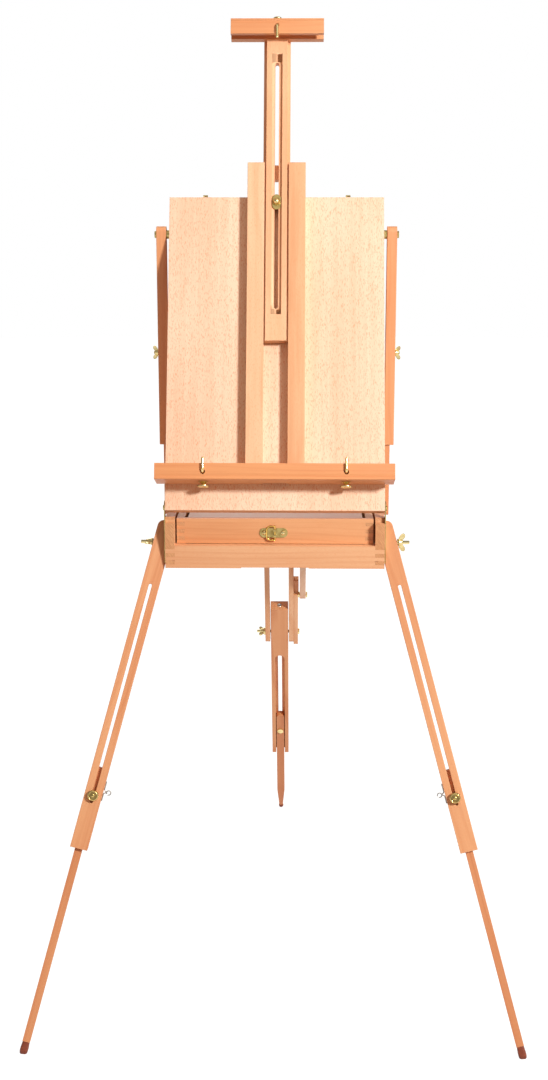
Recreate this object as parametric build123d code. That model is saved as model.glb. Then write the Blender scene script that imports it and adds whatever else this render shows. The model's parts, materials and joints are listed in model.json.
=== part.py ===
from build123d import *
import math
import os

# Box easel with a folding lid, a telescopic mast, a drawer and three telescopic legs.
# Millimetres. The model is drawn around the bottom centre of the box's front face:
# X to the right, Y towards the back, Z up. At the end it is moved so that its origin is
# the bottom centre of the whole object, on the floor.
# Right-hand pieces are drawn, and left-hand ones are their mirror images.

# Box
BOX_WIDTH = 370.0
BOX_DEPTH = 550.0
BOX_HEIGHT = 85.5
FLOOR = -779.0
SIDE = 16.0
FRONT_RAIL = 15.0
FRONT_RAIL_HEIGHT = 39.0
BACK_BOARD = 15.0
PANEL_LOW = 12.5
PANEL_HIGH = 16.5
PANEL_TONGUE = 5.0
NOTCH_DEPTH = 12.0
NOTCH_FLOOR = 77.0
FRONT_FINGERS = 6
BACK_FINGERS = 13
RUNNER_TOP = 39.2
RUNNER_HEIGHT = 12.0
RUNNER_WIDTH = 18.0
BEARER = (28.0, 46.0)
RELIEF_HALF = 57.0
RELIEF_HEIGHT = 1.3

# Screws, bolts and washers
SCREW_RADIUS = 1.5
SCREW_HEAD = 3.2
BOLT_RADIUS = 3.0
THIN_BOLT_RADIUS = 2.5
BOLT_COLLAR = 6.0
BOLT_CAP = 3.0

# Lid
LID_LEAN = 20.0
LID_HALF_WIDTH = 184.3
LID_LENGTH = 545.0
LID_THICKNESS = 32.0
LID_PANEL = 5.0
LID_RAIL = 14.0
LID_TOP_RAIL = 34.0
LID_ROUND = 7.0
LID_PIVOT = (12.7, 101.8)
LID_PIVOT_UP = 7.0

# Brass straps that carry the lid
STRAP_THICKNESS = 1.5
STRAP_WIDTH = 16.0
STRAP_LOW = 8.0
STRAP_SCREWS = (16.0, 70.0)
STRAP_SCREW_LENGTH = 10.0
STRAP_ABOVE_PIN = 4.0
LID_PIN_RADIUS = 2.0
LID_PIN_INSIDE = 13.0
LID_PIN_HEAD = (4.4, 1.9)

# Canvas rails, mast and mast clamp, in the lid's own directions
RAIL_INNER = 20.6
RAIL_OUTER = 49.7
RAIL_THICKNESS = 20.0
RAIL_TOP = 600.0
RAIL_GROOVE = (4.0, 12.0)
RAIL_GROOVE_DEPTH = 4.0
CROSS_BLOCK_LOW = 575.0
CROSS_BLOCK = (-9.0, 3.6)
MAST_LOW = 286.5
MAST_TOP = 847.0
MAST_HALF = 18.1
TONGUE_HALF = 23.0
TONGUE = (4.2, 11.8)
MAST_FRONT = 20.0
MAST_SLOT = (343.0, 781.0)
MAST_SLOT_WIDTH = 6.7
MAST_GROOVE = (332.0, 797.0)
MAST_GROOVE_WIDTH = 17.8
MAST_GROOVE_DEPTH = 4.5
MAST_GROOVE_RUN_OUT = 18.0
CLAMP_UP = 530.4
CLAMP_HEAD = 4.0
CLAMP_HEAD_RADIUS = 8.0
CLAMP_PLATE = (26.9, 14.3)
CLAMP_PLATE_THICKNESS = 2.0
CLAMP_NUT = (6.2, 5.4)
CLAMP_NUT_HEIGHT = 4.0

# Canvas ledge and top holder
LEDGE_HALF = 198.5
LEDGE_LOW = 44.6
LEDGE_HIGH = 64.0
LEDGE_DEPTH = 48.0
LIP_HIGH = 71.6
LIP_BACK = 41.0
LEDGE_NOTCH_HALF = 21.0
LEDGE_NOTCH_DEPTH = 8.0
BEAD = 3.3
BEAD_ROUND = 1.4
COVE_DEPTH = 1.6
COVE_HIGH = 10.0
HOOK_ACROSS = 118.5
HOOK_UP = 57.4
HOOK_WIRE = 2.5
HOOK_HOLE = 4.0
HOOK_REST = 51.3
HOOK_INNER_END = 14.0
HOOK_BEND = 5.0
HOOK_TIP = 81.5
THUMB_FORWARD = 24.0
THUMB_NECK = (8.0, 2.9)
THUMB_DISC = 3.2
LEDGE_THUMB = (9.75, 6.0)
HOLDER_THUMB = (7.8, 5.0)
HOLDER_HALF = 80.0
HOLDER_LOW = 820.5
HOLDER_BLOCK_LOW = 828.0
HOLDER_LIP_LOW = 819.0
HOLDER_BACK = 12.0
HOLDER_SPLIT = 24.0
HOLDER_HOOK_UP = 834.3
HOLDER_HOOK_TIP = 809.5
HOLDER_HOOK_HOLE = 3.4
HOLDER_HOOK_END = 17.0
HOLDER_THUMB_FORWARD = 30.0

# Side struts
STRUT_INNER = 190.3
STRUT_THICKNESS = 17.0
STRUT_DEPTH = 20.0
STRUT_CHANNEL = (10.4, 14.4)
CHANNEL_SHORT = 12.0
BAR_SLOT_HALF = 3.2
BAR_SLOT_BELOW = 4.0
BAR_SLOT_SHORT = 30.0
STRIP_THICKNESS = 10.0
STRIP_DEPTH = 14.0
STRUT_REACH = 477.0
STRUT_PIVOT = (180.0, 72.0)
BAR_ABOVE = 14.0
BAR_LENGTH = 379.0
STRIP_BELOW = 15.0
STRIP_ABOVE = 295.0
STRIP_BOLT_UP = 275.0
STRIP_BOLT_OUT = 8.0
STRIP_PIVOT_RADIUS = 5.0
STRUT_NUT = (5.5, 5.5, 3.8, 6.6)
STRUT_SPACER = 7.5

# Drawer
DRAWER_FRONT_FACE = 15.0
DRAWER_FRONT = 11.0
DRAWER_BACK_FACE = 520.0
DRAWER_BACK = 10.0
DRAWER_HALF = 166.3
DRAWER_SIDE = 13.3
DRAWER_LOW = 39.5
DRAWER_HIGH = 82.5
DRAWER_FLOOR = 4.0
DRAWER_FINGERS = 7
DIVIDER_HALF = 3.0
CROSS_DIVIDER = 253.0
PALETTE_HALF = 148.0
PALETTE_THICKNESS = 5.5
PALETTE_LENGTH = 470.0
PALETTE_SUNK = 0.2
PALETTE_HOLE = (70.0, 400.0)
PALETTE_HOLE_SIZE = (20.0, 14.0)
LATCH_MIDDLE = 58.6
LATCH_ENDS = (-18.0, 13.4)
LATCH_HALF = 8.2
LATCH_THICKNESS = 1.5
LATCH_SCREW = (3.6, 2.6, 1.7)
LATCH_LUG_HALF = 2.6
LATCH_LUG = (3.0, 7.0)
LATCH_PIN_OUT = 4.2
LATCH_PIN = 1.2
LATCH_RING = (14.0, 12.0)
LATCH_RING_BEND = 7.0
LATCH_RING_WIRE = 1.4

# Catches and carrying handle on the back board
CATCH_ACROSS = 123.0
CATCH_HEIGHT = 58.0
CATCH_BASE = (11.0, 14.0)
CATCH_EAR = 2.0
CATCH_EAR_HALF = 4.0
CATCH_EAR_OUT = 8.0
CATCH_PIN = 1.5
CATCH_PIN_OUT = 5.0
LEVER_HALF = 8.5
LEVER_LENGTH = 56.0
LEVER_ROLL = 2.6
LEVER_WINDOW_HALF = 5.5
LEVER_WINDOW = (44.0, 54.0)
KEEPER_HALF = 8.0
KEEPER_MIDDLE = -10.0
KEEPER_ROUND = 6.0
KEEPER_LOOP_HALF = 4.0
KEEPER_LOOP = 5.0
KEEPER_LOOP_WIRE = 1.8
FITTING_PLATE = 1.5
HANDLE_HALF = 55.0
HANDLE_HEIGHT = 44.0
HANDLE_OUT = 10.0
HANDLE_DROP = 34.0
HANDLE_WIRE = 3.0
HANDLE_GRIP = 7.5
HANDLE_GRIP_HALF = 32.0
HANDLE_END = 6.0
HANDLE_SHOULDER = 10.0
HANDLE_BEND = 5.0
EYE_PLATE = (9.0, 12.0)
EYE_BLOCK = (4.0, 6.0)

# Front legs
LEG_PIVOT = Vector(192, 27, 40)
LEG_FOOT = Vector(415, -219, FLOOR)
LEG_HALF_WIDTH = 14.8
LEG_HALF_DEPTH = 11.0
LEG_ABOVE = 36.0
LEG_OUTER_END = 533.5
LEG_HEAD_ROUND = 11.0
LEG_SIDE_CLEAR = 186.8
LEG_SLOT = (75.0, 455.0)
LEG_SLOT_WIDTH = 5.4
LEG_GROOVE_WIDTH = 13.4
LEG_GROOVE_DEPTH = 14.0
LEG_GROOVE_TOP = 30.0
INNER_LEG_WIDTH = 12.8
INNER_LEG_DEPTH = 13.8
INNER_LEG_TOP = 395.0
INNER_LEG_END = 863.0
LEG_FOOT_WIDTH = 13.8
FOOT_EDGE = 3.0
FOOT_STOCK = 60.0
LEG_KNOB_DOWN = 441.5
LEG_KNOB_RADIUS = 9.3
LEG_BOLT_RADIUS = 3.0
LEG_BOLT_END = 228.0
BOLT_HEAD_RADIUS = 7.0
BOLT_RECESS = 3.5
BOLT_SUNK = 0.5
LEG_HOLE_RADIUS = 7.6
LEG_SEAT_RADIUS = 11.0
LEG_SEAT_DEPTH = 2.1
WASHER_RADIUS = 6.5
WASHER = (207.3, 209.0)
LEG_NUT = (6.2, 7.0, 4.8, 8.4)
KNOB_HEIGHT = 9.0
KNOB_EDGE = 1.6
KNOB_DISH = 1.2
KNOB_HEAD = 5.0
CLIP_STAPLES = (416.0, 448.0)
CLIP_WIRE = 1.0
CLIP_DOWN = 432.0
CLIP_LOOP = 3.6
CLIP_NECK = 5.0
CLIP_STAPLE_DEPTH = 4.0
CLIP_SLOT_HALF = 12.0
CLIP_SLOT_DEPTH = 11.5
CLIP_SLOT_HIGH = 46.0

# Rear leg
REAR_PIVOT = Vector(0, 424, -14)
REAR_FOOT = Vector(0, 850, FLOOR)
ARM_INNER = 19.5
ARM_OUTER = 29.5
ARM_HALF_DEPTH = 12.5
REAR_KNEE_DOWN = 294.0
ARM_END = 320.0
STAY_KNEE_DOWN = 188.0
CHEEK_OUTER = 38.5
CHEEK_TOP = 148.0
CHEEK_STEP = 179.0
CHEEK_HEAD_FRONT = 2.0
STAY_BOLT_SHORT = 2.0
STAY_INNER = 42.0
STAY_OUTER = 54.0
STAY_HALF_DEPTH = 8.5
STAY_TOP = Vector(0, 350, -14)
BRACKET_INNER = 31.0
BRACKET_OUTER = 41.5
BRACKET_ROUND = 15.0
STAY_BRACKET = (-16.0, 22.0)
STAY_BRACKET_DROP = 12.0
STAY_BOLT_HOLE = 3.6
KNEE_BOLT_LEFT = -47.0
KNEE_WASHER = (8.0, 3.1)
KNEE_NUT = (6.5, 6.0, 4.6, 8.0)
REAR_HALF_WIDTH = 18.0
REAR_HALF_DEPTH = 12.75
REAR_OUTER_TOP = 219.0
REAR_OUTER_END = 667.0
REAR_GROOVE_TOP = 355.0
REAR_GROOVE_WIDTH = 19.6
REAR_GROOVE_DEPTH = 14.0
REAR_SLOT = (362.0, 601.0)
REAR_SLOT_WIDTH = 8.2
REAR_INNER_WIDTH = 16.6
REAR_INNER_TOP = 543.0
REAR_TAPER = (800.0, 858.0)
REAR_TAPER_WIDTH = 8.0
REAR_BOLT_DOWN = 594.0
REAR_BOLT_OUT = 11.5
REAR_FOOT_RADIUS = 5.5
REAR_HEAD = (6.5, 2.4)
WING_THICKNESS = 2.6
WING_FOOT = 1.0

# Clearances: a shaft in its hole, and pieces of different bodies side by side
RUN = 0.05
GAP = 0.3

# Worked out from the sizes above
CLAMP_FLOOR = MAST_FRONT - MAST_GROOVE_DEPTH + 0.1
CLAMP_BOLT_OUT = CLAMP_PLATE_THICKNESS + CLAMP_NUT_HEIGHT + 0.9
REAR_INNER_DEPTH = (REAR_HALF_DEPTH - REAR_GROOVE_DEPTH + 0.2, REAR_HALF_DEPTH - GAP)


def lid_plane():
    """The lid's outer face: X across, Y up the lid, Z out of its face, at its bottom edge."""
    lean = math.radians(LID_LEAN)
    up = Vector(0, math.sin(lean), math.cos(lean))
    out = Vector(0, -math.cos(lean), math.sin(lean))
    pivot = Vector(0, *LID_PIVOT)
    corner = pivot - up * LID_PIVOT_UP + out * (LID_THICKNESS / 2)
    return Plane(origin=corner, x_dir=(1, 0, 0), z_dir=out)


def leg_plane(pivot, foot, across):
    """A leg's directions: X across it, Y out of its front, Z down along it, at its pivot."""
    return Plane(origin=pivot, x_dir=across, z_dir=foot - pivot)


LID = lid_plane()
LEG_RUN = LEG_FOOT - LEG_PIVOT
LEG_ACROSS = Vector(-LEG_RUN.Z, 0, LEG_RUN.X).normalized()
LEG = leg_plane(LEG_PIVOT, LEG_FOOT, LEG_ACROSS)
REAR = leg_plane(REAR_PIVOT, REAR_FOOT, Vector(1, 0, 0))
LID_PIVOT_POINT = Vector(0, *LID_PIVOT)
STRUT_TOP_POINT = LID_PIVOT_POINT + LID.y_dir * STRUT_REACH
STRUT_LOW_POINT = Vector(0, *STRUT_PIVOT)
STAY_KNEE = REAR_PIVOT + REAR.z_dir * STAY_KNEE_DOWN


def around(middle, half):
    """The two ends of a stretch that lies evenly about its middle."""
    return (middle - half, middle + half)


def block(x, y, z):
    """A straight block between the two ends given along each direction."""
    ends = (x, y, z)
    middle = [(low + high) / 2 for low, high in ends]
    size = [high - low for low, high in ends]
    return Pos(*middle) * Box(*size)


def rod(start, end, radius):
    """A round rod from one point to another."""
    start = Vector(*start)
    run = Vector(*end) - start
    stand = (Align.CENTER, Align.CENTER, Align.MIN)
    return Plane(origin=start, z_dir=run).location * Cylinder(radius, run.length, align=stand)


def cone(start, end, radius_start, radius_end):
    """A tapered rod from one point to another."""
    start = Vector(*start)
    run = Vector(*end) - start
    stand = (Align.CENTER, Align.CENTER, Align.MIN)
    return Plane(origin=start, z_dir=run).location * Cone(radius_start, radius_end, run.length, align=stand)


def strip(start, end, x, half_depth):
    """A flat strip with round ends between two pivots in the YZ plane."""
    run = end - start
    frame = Plane(origin=(0, start.Y, start.Z), x_dir=(1, 0, 0), z_dir=run)
    bar = block(x, (-half_depth, half_depth), (0, run.length))
    for down in (0, run.length):
        bar += rod((x[0], 0, down), (x[1], 0, down), half_depth)
    return frame.location * bar


def bent_wire(points, bend, radius):
    """A wire that runs through the points, with the same bend at each corner."""
    path = FilletPolyline(*points, radius=bend)
    section = Plane(origin=path @ 0, z_dir=path % 0) * Circle(radius)
    return sweep(section, path)


def wingnut(hub_radius, hub_length, wing_radius, wing_out, bore):
    """A wing nut that stands on XY with its hole along Z and its wings along Y."""
    half = WING_THICKNESS / 2
    nut = cone((0, 0, 0), (0, 0, hub_length), hub_radius, hub_radius * 0.75)
    for side in (-1, 1):
        wing = Pos(0, side * wing_out, hub_length) * Rot(0, 90, 0) * Cylinder(wing_radius, WING_THICKNESS)
        web = block((-half, half), sorted((0, side * wing_out)), (WING_FOOT, hub_length + half))
        nut += wing + web
    return nut - rod((0, 0, -1), (0, 0, hub_length + wing_radius + 2), bore)


def round_knob(radius, height):
    """A round knob that stands on XY, with a rounded rim and a shallow dished top."""
    knob = Cylinder(radius, height, align=(Align.CENTER, Align.CENTER, Align.MIN))
    knob = fillet(knob.edges().filter_by(GeomType.CIRCLE), KNOB_EDGE)
    return knob - Pos(0, 0, height) * Cylinder(radius * 0.55, KNOB_DISH)


def thumbscrew(disc_radius, neck_length, shank_length):
    """A thumbscrew along Z: shank below XY, cone neck and disc above it."""
    screw = cone((0, 0, 0), (0, 0, neck_length), THUMB_NECK[0], THUMB_NECK[1])
    disc = Cylinder(disc_radius, THUMB_DISC, align=(Align.CENTER, Align.CENTER, Align.MIN))
    disc = fillet(disc.edges().filter_by(GeomType.CIRCLE), THUMB_DISC / 3)
    screw += Pos(0, 0, neck_length - 0.2) * disc
    return screw + rod((0, 0, 0.5), (0, 0, -shank_length), THIN_BOLT_RADIUS)


def flip(shape):
    """The left-hand piece that mirrors a right-hand one."""
    return mirror(shape, about=Plane.YZ)


def below_floor():
    """All that lies below the floor."""
    return block((-BOX_WIDTH * 2, BOX_WIDTH * 2), (-BOX_DEPTH * 2, BOX_DEPTH * 2), (FLOOR * 2, FLOOR))


def finger_rows(low, high, count, first):
    """The heights of every second finger of a finger joint."""
    pitch = (high - low) / count
    return [(low + pitch * row, low + pitch * (row + 1)) for row in range(first, count, 2)]


def box_side():
    """Right side of the box, with finger joints, the panel groove and the clip slot."""
    inner = BOX_WIDTH / 2 - SIDE
    outer = BOX_WIDTH / 2
    side = block((inner, outer), (0, BOX_DEPTH), (0, BOX_HEIGHT))
    side -= block((inner - 1, outer + 1), (-1, NOTCH_DEPTH), (NOTCH_FLOOR, BOX_HEIGHT + 1))
    side -= block((inner - 1, inner + PANEL_TONGUE), (0, BOX_DEPTH), (PANEL_LOW, PANEL_HIGH))
    for low, high in finger_rows(0, FRONT_RAIL_HEIGHT, FRONT_FINGERS, 0):
        side -= block((inner - 1, outer + 1), (-1, FRONT_RAIL), (low, high))
    for low, high in finger_rows(0, BOX_HEIGHT, BACK_FINGERS, 0):
        side -= block((inner - 1, outer + 1), (BOX_DEPTH - BACK_BOARD, BOX_DEPTH + 1), (low, high))
    middle = LEG_PIVOT.Y + CLIP_DOWN
    slot = (middle - CLIP_SLOT_HALF, middle + CLIP_SLOT_HALF)
    side -= block((outer - CLIP_SLOT_DEPTH, outer + 1), slot, (-1, CLIP_SLOT_HIGH))
    bolt = LEG_PIVOT
    side -= rod((inner - 1, bolt.Y, bolt.Z), (outer + 1, bolt.Y, bolt.Z), LEG_BOLT_RADIUS)
    side -= rod((inner - 1, bolt.Y, bolt.Z), (inner + BOLT_RECESS, bolt.Y, bolt.Z), BOLT_HEAD_RADIUS)
    for height in STRAP_SCREWS:
        start = (outer - STRAP_SCREW_LENGTH, LID_PIVOT[0], height)
        side -= rod(start, (outer + 1, LID_PIVOT[0], height), SCREW_RADIUS)
    return side


def box_front_rail():
    """Low rail under the drawer, with fingers through the sides and a relieved lower edge."""
    inner = BOX_WIDTH / 2 - SIDE
    rail = block((-inner, inner), (0, FRONT_RAIL), (0, FRONT_RAIL_HEIGHT))
    for low, high in finger_rows(0, FRONT_RAIL_HEIGHT, FRONT_FINGERS, 0):
        rail += block((-BOX_WIDTH / 2, BOX_WIDTH / 2), (0, FRONT_RAIL), (low, high))
    groove = (FRONT_RAIL - PANEL_TONGUE, FRONT_RAIL + 1)
    rail -= block((-BOX_WIDTH / 2, BOX_WIDTH / 2), groove, (PANEL_LOW, PANEL_HIGH))
    across = BOX_WIDTH / 2 - STRAP_SCREW_LENGTH
    height = STRAP_SCREWS[0]
    for side in (-1, 1):
        end = (side * (BOX_WIDTH / 2 + 1), LID_PIVOT[0], height)
        rail -= rod((side * across, LID_PIVOT[0], height), end, SCREW_RADIUS)
    return rail - block((-RELIEF_HALF, RELIEF_HALF), (-1, FRONT_RAIL + 1), (-1, RELIEF_HEIGHT))


def box_back_board():
    """Back of the box, with fingers through the sides."""
    inner = BOX_WIDTH / 2 - SIDE
    face = BOX_DEPTH - BACK_BOARD
    board = block((-inner, inner), (face, BOX_DEPTH), (0, BOX_HEIGHT))
    for low, high in finger_rows(0, BOX_HEIGHT, BACK_FINGERS, 0):
        board += block((-BOX_WIDTH / 2, BOX_WIDTH / 2), (face, BOX_DEPTH), (low, high))
    groove = (face - 1, face + PANEL_TONGUE)
    return board - block((-BOX_WIDTH, BOX_WIDTH), groove, (PANEL_LOW, PANEL_HIGH))


def box_bottom_panel():
    """Thin bottom panel, held in grooves all round."""
    across = BOX_WIDTH / 2 - SIDE + PANEL_TONGUE
    ends = (FRONT_RAIL - PANEL_TONGUE, BOX_DEPTH - BACK_BOARD + PANEL_TONGUE)
    return block((-across, across), ends, (PANEL_LOW, PANEL_HIGH))


def drawer_runners():
    """Two runners inside the box that the drawer slides on."""
    inner = BOX_WIDTH / 2 - SIDE
    ends = (FRONT_RAIL, BOX_DEPTH - BACK_BOARD)
    runner = block((inner - RUNNER_WIDTH, inner), ends, (RUNNER_TOP - RUNNER_HEIGHT, RUNNER_TOP))
    return [runner, flip(runner)]


def side_straps():
    """Brass straps on the box sides, with their screws and the lid's pivot screws."""
    face = BOX_WIDTH / 2
    out = face + STRAP_THICKNESS
    place, height = LID_PIVOT
    half = STRAP_WIDTH / 2
    high = height + STRAP_ABOVE_PIN
    strap = block((face, out), (place - half, place + half), (STRAP_LOW, high))
    strap += rod((face, place, high), (out, place, high), half)
    strap -= rod((face - 1, place, height), (out + 1, place, height), LID_PIN_RADIUS)
    pin = rod((face - LID_PIN_INSIDE, place, height), (out, place, height), LID_PIN_RADIUS)
    head_radius, head_height = LID_PIN_HEAD
    pin += rod((out, place, height), (out + head_height, place, height), head_radius)
    pieces = [pin]
    for screw_height in STRAP_SCREWS:
        start = (face - STRAP_SCREW_LENGTH, place, screw_height)
        base = (face, place, screw_height)
        flush = (out, place, screw_height)
        strap -= cone(base, flush, SCREW_RADIUS, SCREW_HEAD)
        pieces.append(rod(start, base, SCREW_RADIUS) + cone(base, flush, SCREW_RADIUS, SCREW_HEAD))
    pieces.append(strap)
    return pieces + [flip(piece) for piece in pieces]


def leg_pivot_bolts():
    """Long bolts through the box sides that the front legs hang on."""
    inner = BOX_WIDTH / 2 - SIDE
    y, z = LEG_PIVOT.Y, LEG_PIVOT.Z
    bolt = rod((inner + BOLT_SUNK, y, z), (LEG_BOLT_END, y, z), LEG_BOLT_RADIUS)
    bolt += rod((inner + BOLT_SUNK, y, z), (inner + BOLT_RECESS, y, z), BOLT_HEAD_RADIUS)
    return [bolt, flip(bolt)]


def rear_bearers():
    """Two bearers under the bottom panel, from the front rail to the back board."""
    bearer = block(BEARER, (FRONT_RAIL, BOX_DEPTH - BACK_BOARD), (0, PANEL_LOW))
    return [bearer, flip(bearer)]


def rear_brackets():
    """Wooden brackets under the bearers: two for the rear fork and one for the stay."""
    y, z = REAR_PIVOT.Y, REAR_PIVOT.Z
    inner, outer = BRACKET_INNER, BRACKET_OUTER
    across = (inner, outer)
    fork = block(across, (y - BRACKET_ROUND, y + BRACKET_ROUND), (z, 0))
    fork += rod((inner, y, z), (outer, y, z), BRACKET_ROUND)
    fork -= rod((inner - 1, y, z), (outer + 1, y, z), BOLT_RADIUS)
    y, z = STAY_TOP.Y, STAY_TOP.Z
    ends = [y + end for end in STAY_BRACKET]
    stay = block(across, ends, (z, 0))
    stay += block(across, (y - 2, ends[1]), (z - STAY_BRACKET_DROP, z))
    mouth = Plane(origin=(inner - 1, y, z), x_dir=(0, 1, 0), z_dir=(1, 0, 0)) * stay_mouth()
    stay -= extrude(mouth, amount=outer - inner + 2)
    stay -= rod((inner - 1, y, z), (outer + 1, y, z), STAY_BOLT_HOLE)
    return [fork, flip(fork), stay]


def stay_mouth():
    """Open mouth of the stay's bracket, which the stay's bolt leaves as the leg folds."""
    high = [(2.4, 3.2), (-20.0, -1.0)]
    low = [(-20.0, -20.0), (-2.6, -20.0), (3.4, -2.0)]
    return make_face(Polyline(*high, *low, close=True))


def back_fittings():
    """Catch bases and handle eyes on the back board."""
    bases = [catch_base(across) for across in (-CATCH_ACROSS, CATCH_ACROSS)]
    return bases + [handle_eye(across) for across in (-HANDLE_HALF, HANDLE_HALF)]


def catch_base(across):
    """Plate of a catch with two ears for the lever's pin."""
    back = BOX_DEPTH
    half, half_height = CATCH_BASE
    base = block(around(across, half), (back, back + FITTING_PLATE), around(CATCH_HEIGHT, half_height))
    for side in (-1, 1):
        middle = across + side * (half - CATCH_EAR / 2)
        ear = around(middle, CATCH_EAR / 2)
        base += block(ear, (back + 1, back + CATCH_EAR_OUT), around(CATCH_HEIGHT, CATCH_EAR_HALF))
    pin = (back + CATCH_PIN_OUT, CATCH_HEIGHT)
    return base - rod((across - half - 1, *pin), (across + half + 1, *pin), CATCH_PIN)


def handle_eye(across):
    """Plate and bored block that one end of the carrying handle turns in."""
    back = BOX_DEPTH
    half, half_height = EYE_PLATE
    eye = block(around(across, half), (back, back + FITTING_PLATE), around(HANDLE_HEIGHT, half_height))
    half, half_height = EYE_BLOCK
    depth = (back + 1, back + HANDLE_OUT + half_height)
    eye += block(around(across, half), depth, around(HANDLE_HEIGHT, half_height))
    pin = (back + HANDLE_OUT, HANDLE_HEIGHT)
    return eye - rod((across - half - 1, *pin), (across + half + 1, *pin), HANDLE_WIRE + RUN)


def catch_levers():
    """Catch levers that swing up over the keepers on the lid, hanging down when open."""
    y = BOX_DEPTH + CATCH_PIN_OUT
    high = CATCH_HEIGHT
    window = [high - down for down in reversed(LEVER_WINDOW)]
    pin_half = CATCH_BASE[0] + 0.5
    levers = []
    for across in (-CATCH_ACROSS, CATCH_ACROSS):
        lever = block(around(across, LEVER_HALF), (y - 1, y + 1), (high - LEVER_LENGTH, high))
        lever -= block(around(across, LEVER_WINDOW_HALF), (y - 2, y + 2), window)
        lever += rod((across - LEVER_HALF, y, high), (across + LEVER_HALF, y, high), LEVER_ROLL)
        lever += rod((across - pin_half, y, high), (across + pin_half, y, high), CATCH_PIN - RUN)
        levers.append(lever)
    return levers


def carry_handle():
    """Bail handle that hangs from the two eyes on the back board."""
    y = BOX_DEPTH + HANDLE_OUT
    high = HANDLE_HEIGHT
    low = HANDLE_HEIGHT - HANDLE_DROP
    end = HANDLE_HALF + HANDLE_END
    inner = HANDLE_HALF - HANDLE_SHOULDER
    left = [(-end, y, high), (-inner, y, high), (-inner, y, low)]
    right = [(-x, y, z) for x, y, z in reversed(left)]
    bail = bent_wire(left + right, HANDLE_BEND, HANDLE_WIRE)
    return bail + rod((-HANDLE_GRIP_HALF, y, low), (HANDLE_GRIP_HALF, y, low), HANDLE_GRIP)


def lid_frame():
    """Rails behind the lid panel: two long ones and two across, as four solids."""
    back = -LID_THICKNESS
    front = -LID_PANEL
    half = LID_HALF_WIDTH
    inner = half - LID_RAIL
    side = block((inner, half), (0, LID_LENGTH), (back, front))
    corner = side.edges().filter_by(Axis.X).sort_by(Axis.Z)[:2].sort_by(Axis.Y)[0]
    side = fillet(corner, LID_ROUND)
    start = half - LID_PIN_INSIDE
    side -= rod((start, LID_PIVOT_UP, back / 2), (half + 1, LID_PIVOT_UP, back / 2), LID_PIN_RADIUS + RUN)
    reach = LID_PIVOT_UP + STRUT_REACH
    side -= rod((inner - 1, reach, back / 2), (half + 1, reach, back / 2), BOLT_RADIUS)
    low = block((-inner, inner), (0, LID_TOP_RAIL), (back, front))
    corner = low.edges().filter_by(Axis.X).sort_by(Axis.Z)[:2].sort_by(Axis.Y)[0]
    low = fillet(corner, LID_ROUND)
    top = block((-inner, inner), (LID_LENGTH - LID_TOP_RAIL, LID_LENGTH), (back, front))
    top -= rod((0, CLAMP_UP, back - 1), (0, CLAMP_UP, front + 1), BOLT_RADIUS)
    top -= rod((0, CLAMP_UP, back - 1), (0, CLAMP_UP, back + CLAMP_HEAD), CLAMP_HEAD_RADIUS)
    return [LID.location * piece for piece in (side, flip(side), low, top)]


def lid_panel():
    """Thin panel that is the lid's outer face."""
    panel = block((-LID_HALF_WIDTH, LID_HALF_WIDTH), (0, LID_LENGTH), (-LID_PANEL, 0))
    panel -= rod((0, CLAMP_UP, -LID_PANEL - 1), (0, CLAMP_UP, 1), BOLT_RADIUS)
    return LID.location * panel


def lid_brass():
    """Keepers on the lid's top end, the mast clamp's bolt and plate, and the struts' upper pivots."""
    start = BOLT_SUNK - LID_THICKNESS
    bolt = rod((0, CLAMP_UP, start), (0, CLAMP_UP, CLAMP_FLOOR + CLAMP_BOLT_OUT), BOLT_RADIUS)
    bolt += rod((0, CLAMP_UP, start), (0, CLAMP_UP, CLAMP_HEAD - LID_THICKNESS), CLAMP_HEAD_RADIUS)
    reach = LID_PIVOT_UP + STRUT_REACH
    middle = -LID_THICKNESS / 2
    outer = STRUT_INNER + STRUT_THICKNESS
    inner = LID_HALF_WIDTH - LID_RAIL
    pivot = rod((inner, reach, middle), (outer + GAP + BOLT_CAP, reach, middle), BOLT_RADIUS)
    pivot += rod((outer + GAP, reach, middle), (outer + GAP + BOLT_CAP, reach, middle), BOLT_COLLAR)
    pivot += rod((LID_HALF_WIDTH, reach, middle), (STRUT_INNER - GAP, reach, middle), STRUT_SPACER)
    pieces = [keeper(-CATCH_ACROSS), keeper(CATCH_ACROSS), bolt, mast_clamp_plate(), pivot, flip(pivot)]
    return [LID.location * piece for piece in pieces]


def keeper(across):
    """Round-ended plate on the lid's top end, with the loop that a catch closes over."""
    top = LID_LENGTH + FITTING_PLATE
    middle = KEEPER_MIDDLE
    plate = block(around(across, KEEPER_HALF), (LID_LENGTH, top), around(middle, KEEPER_ROUND))
    for end in around(across, KEEPER_HALF):
        plate += rod((end, LID_LENGTH, middle), (end, top, middle), KEEPER_ROUND)
    loop = block(around(across, KEEPER_LOOP_HALF), (top - 0.5, top + KEEPER_LOOP), around(middle, 2.6))
    gap_half = KEEPER_LOOP_HALF - KEEPER_LOOP_WIRE
    gap = block(around(across, gap_half), (top, top + KEEPER_LOOP - KEEPER_LOOP_WIRE), around(middle, 4))
    return plate + loop - gap


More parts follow.
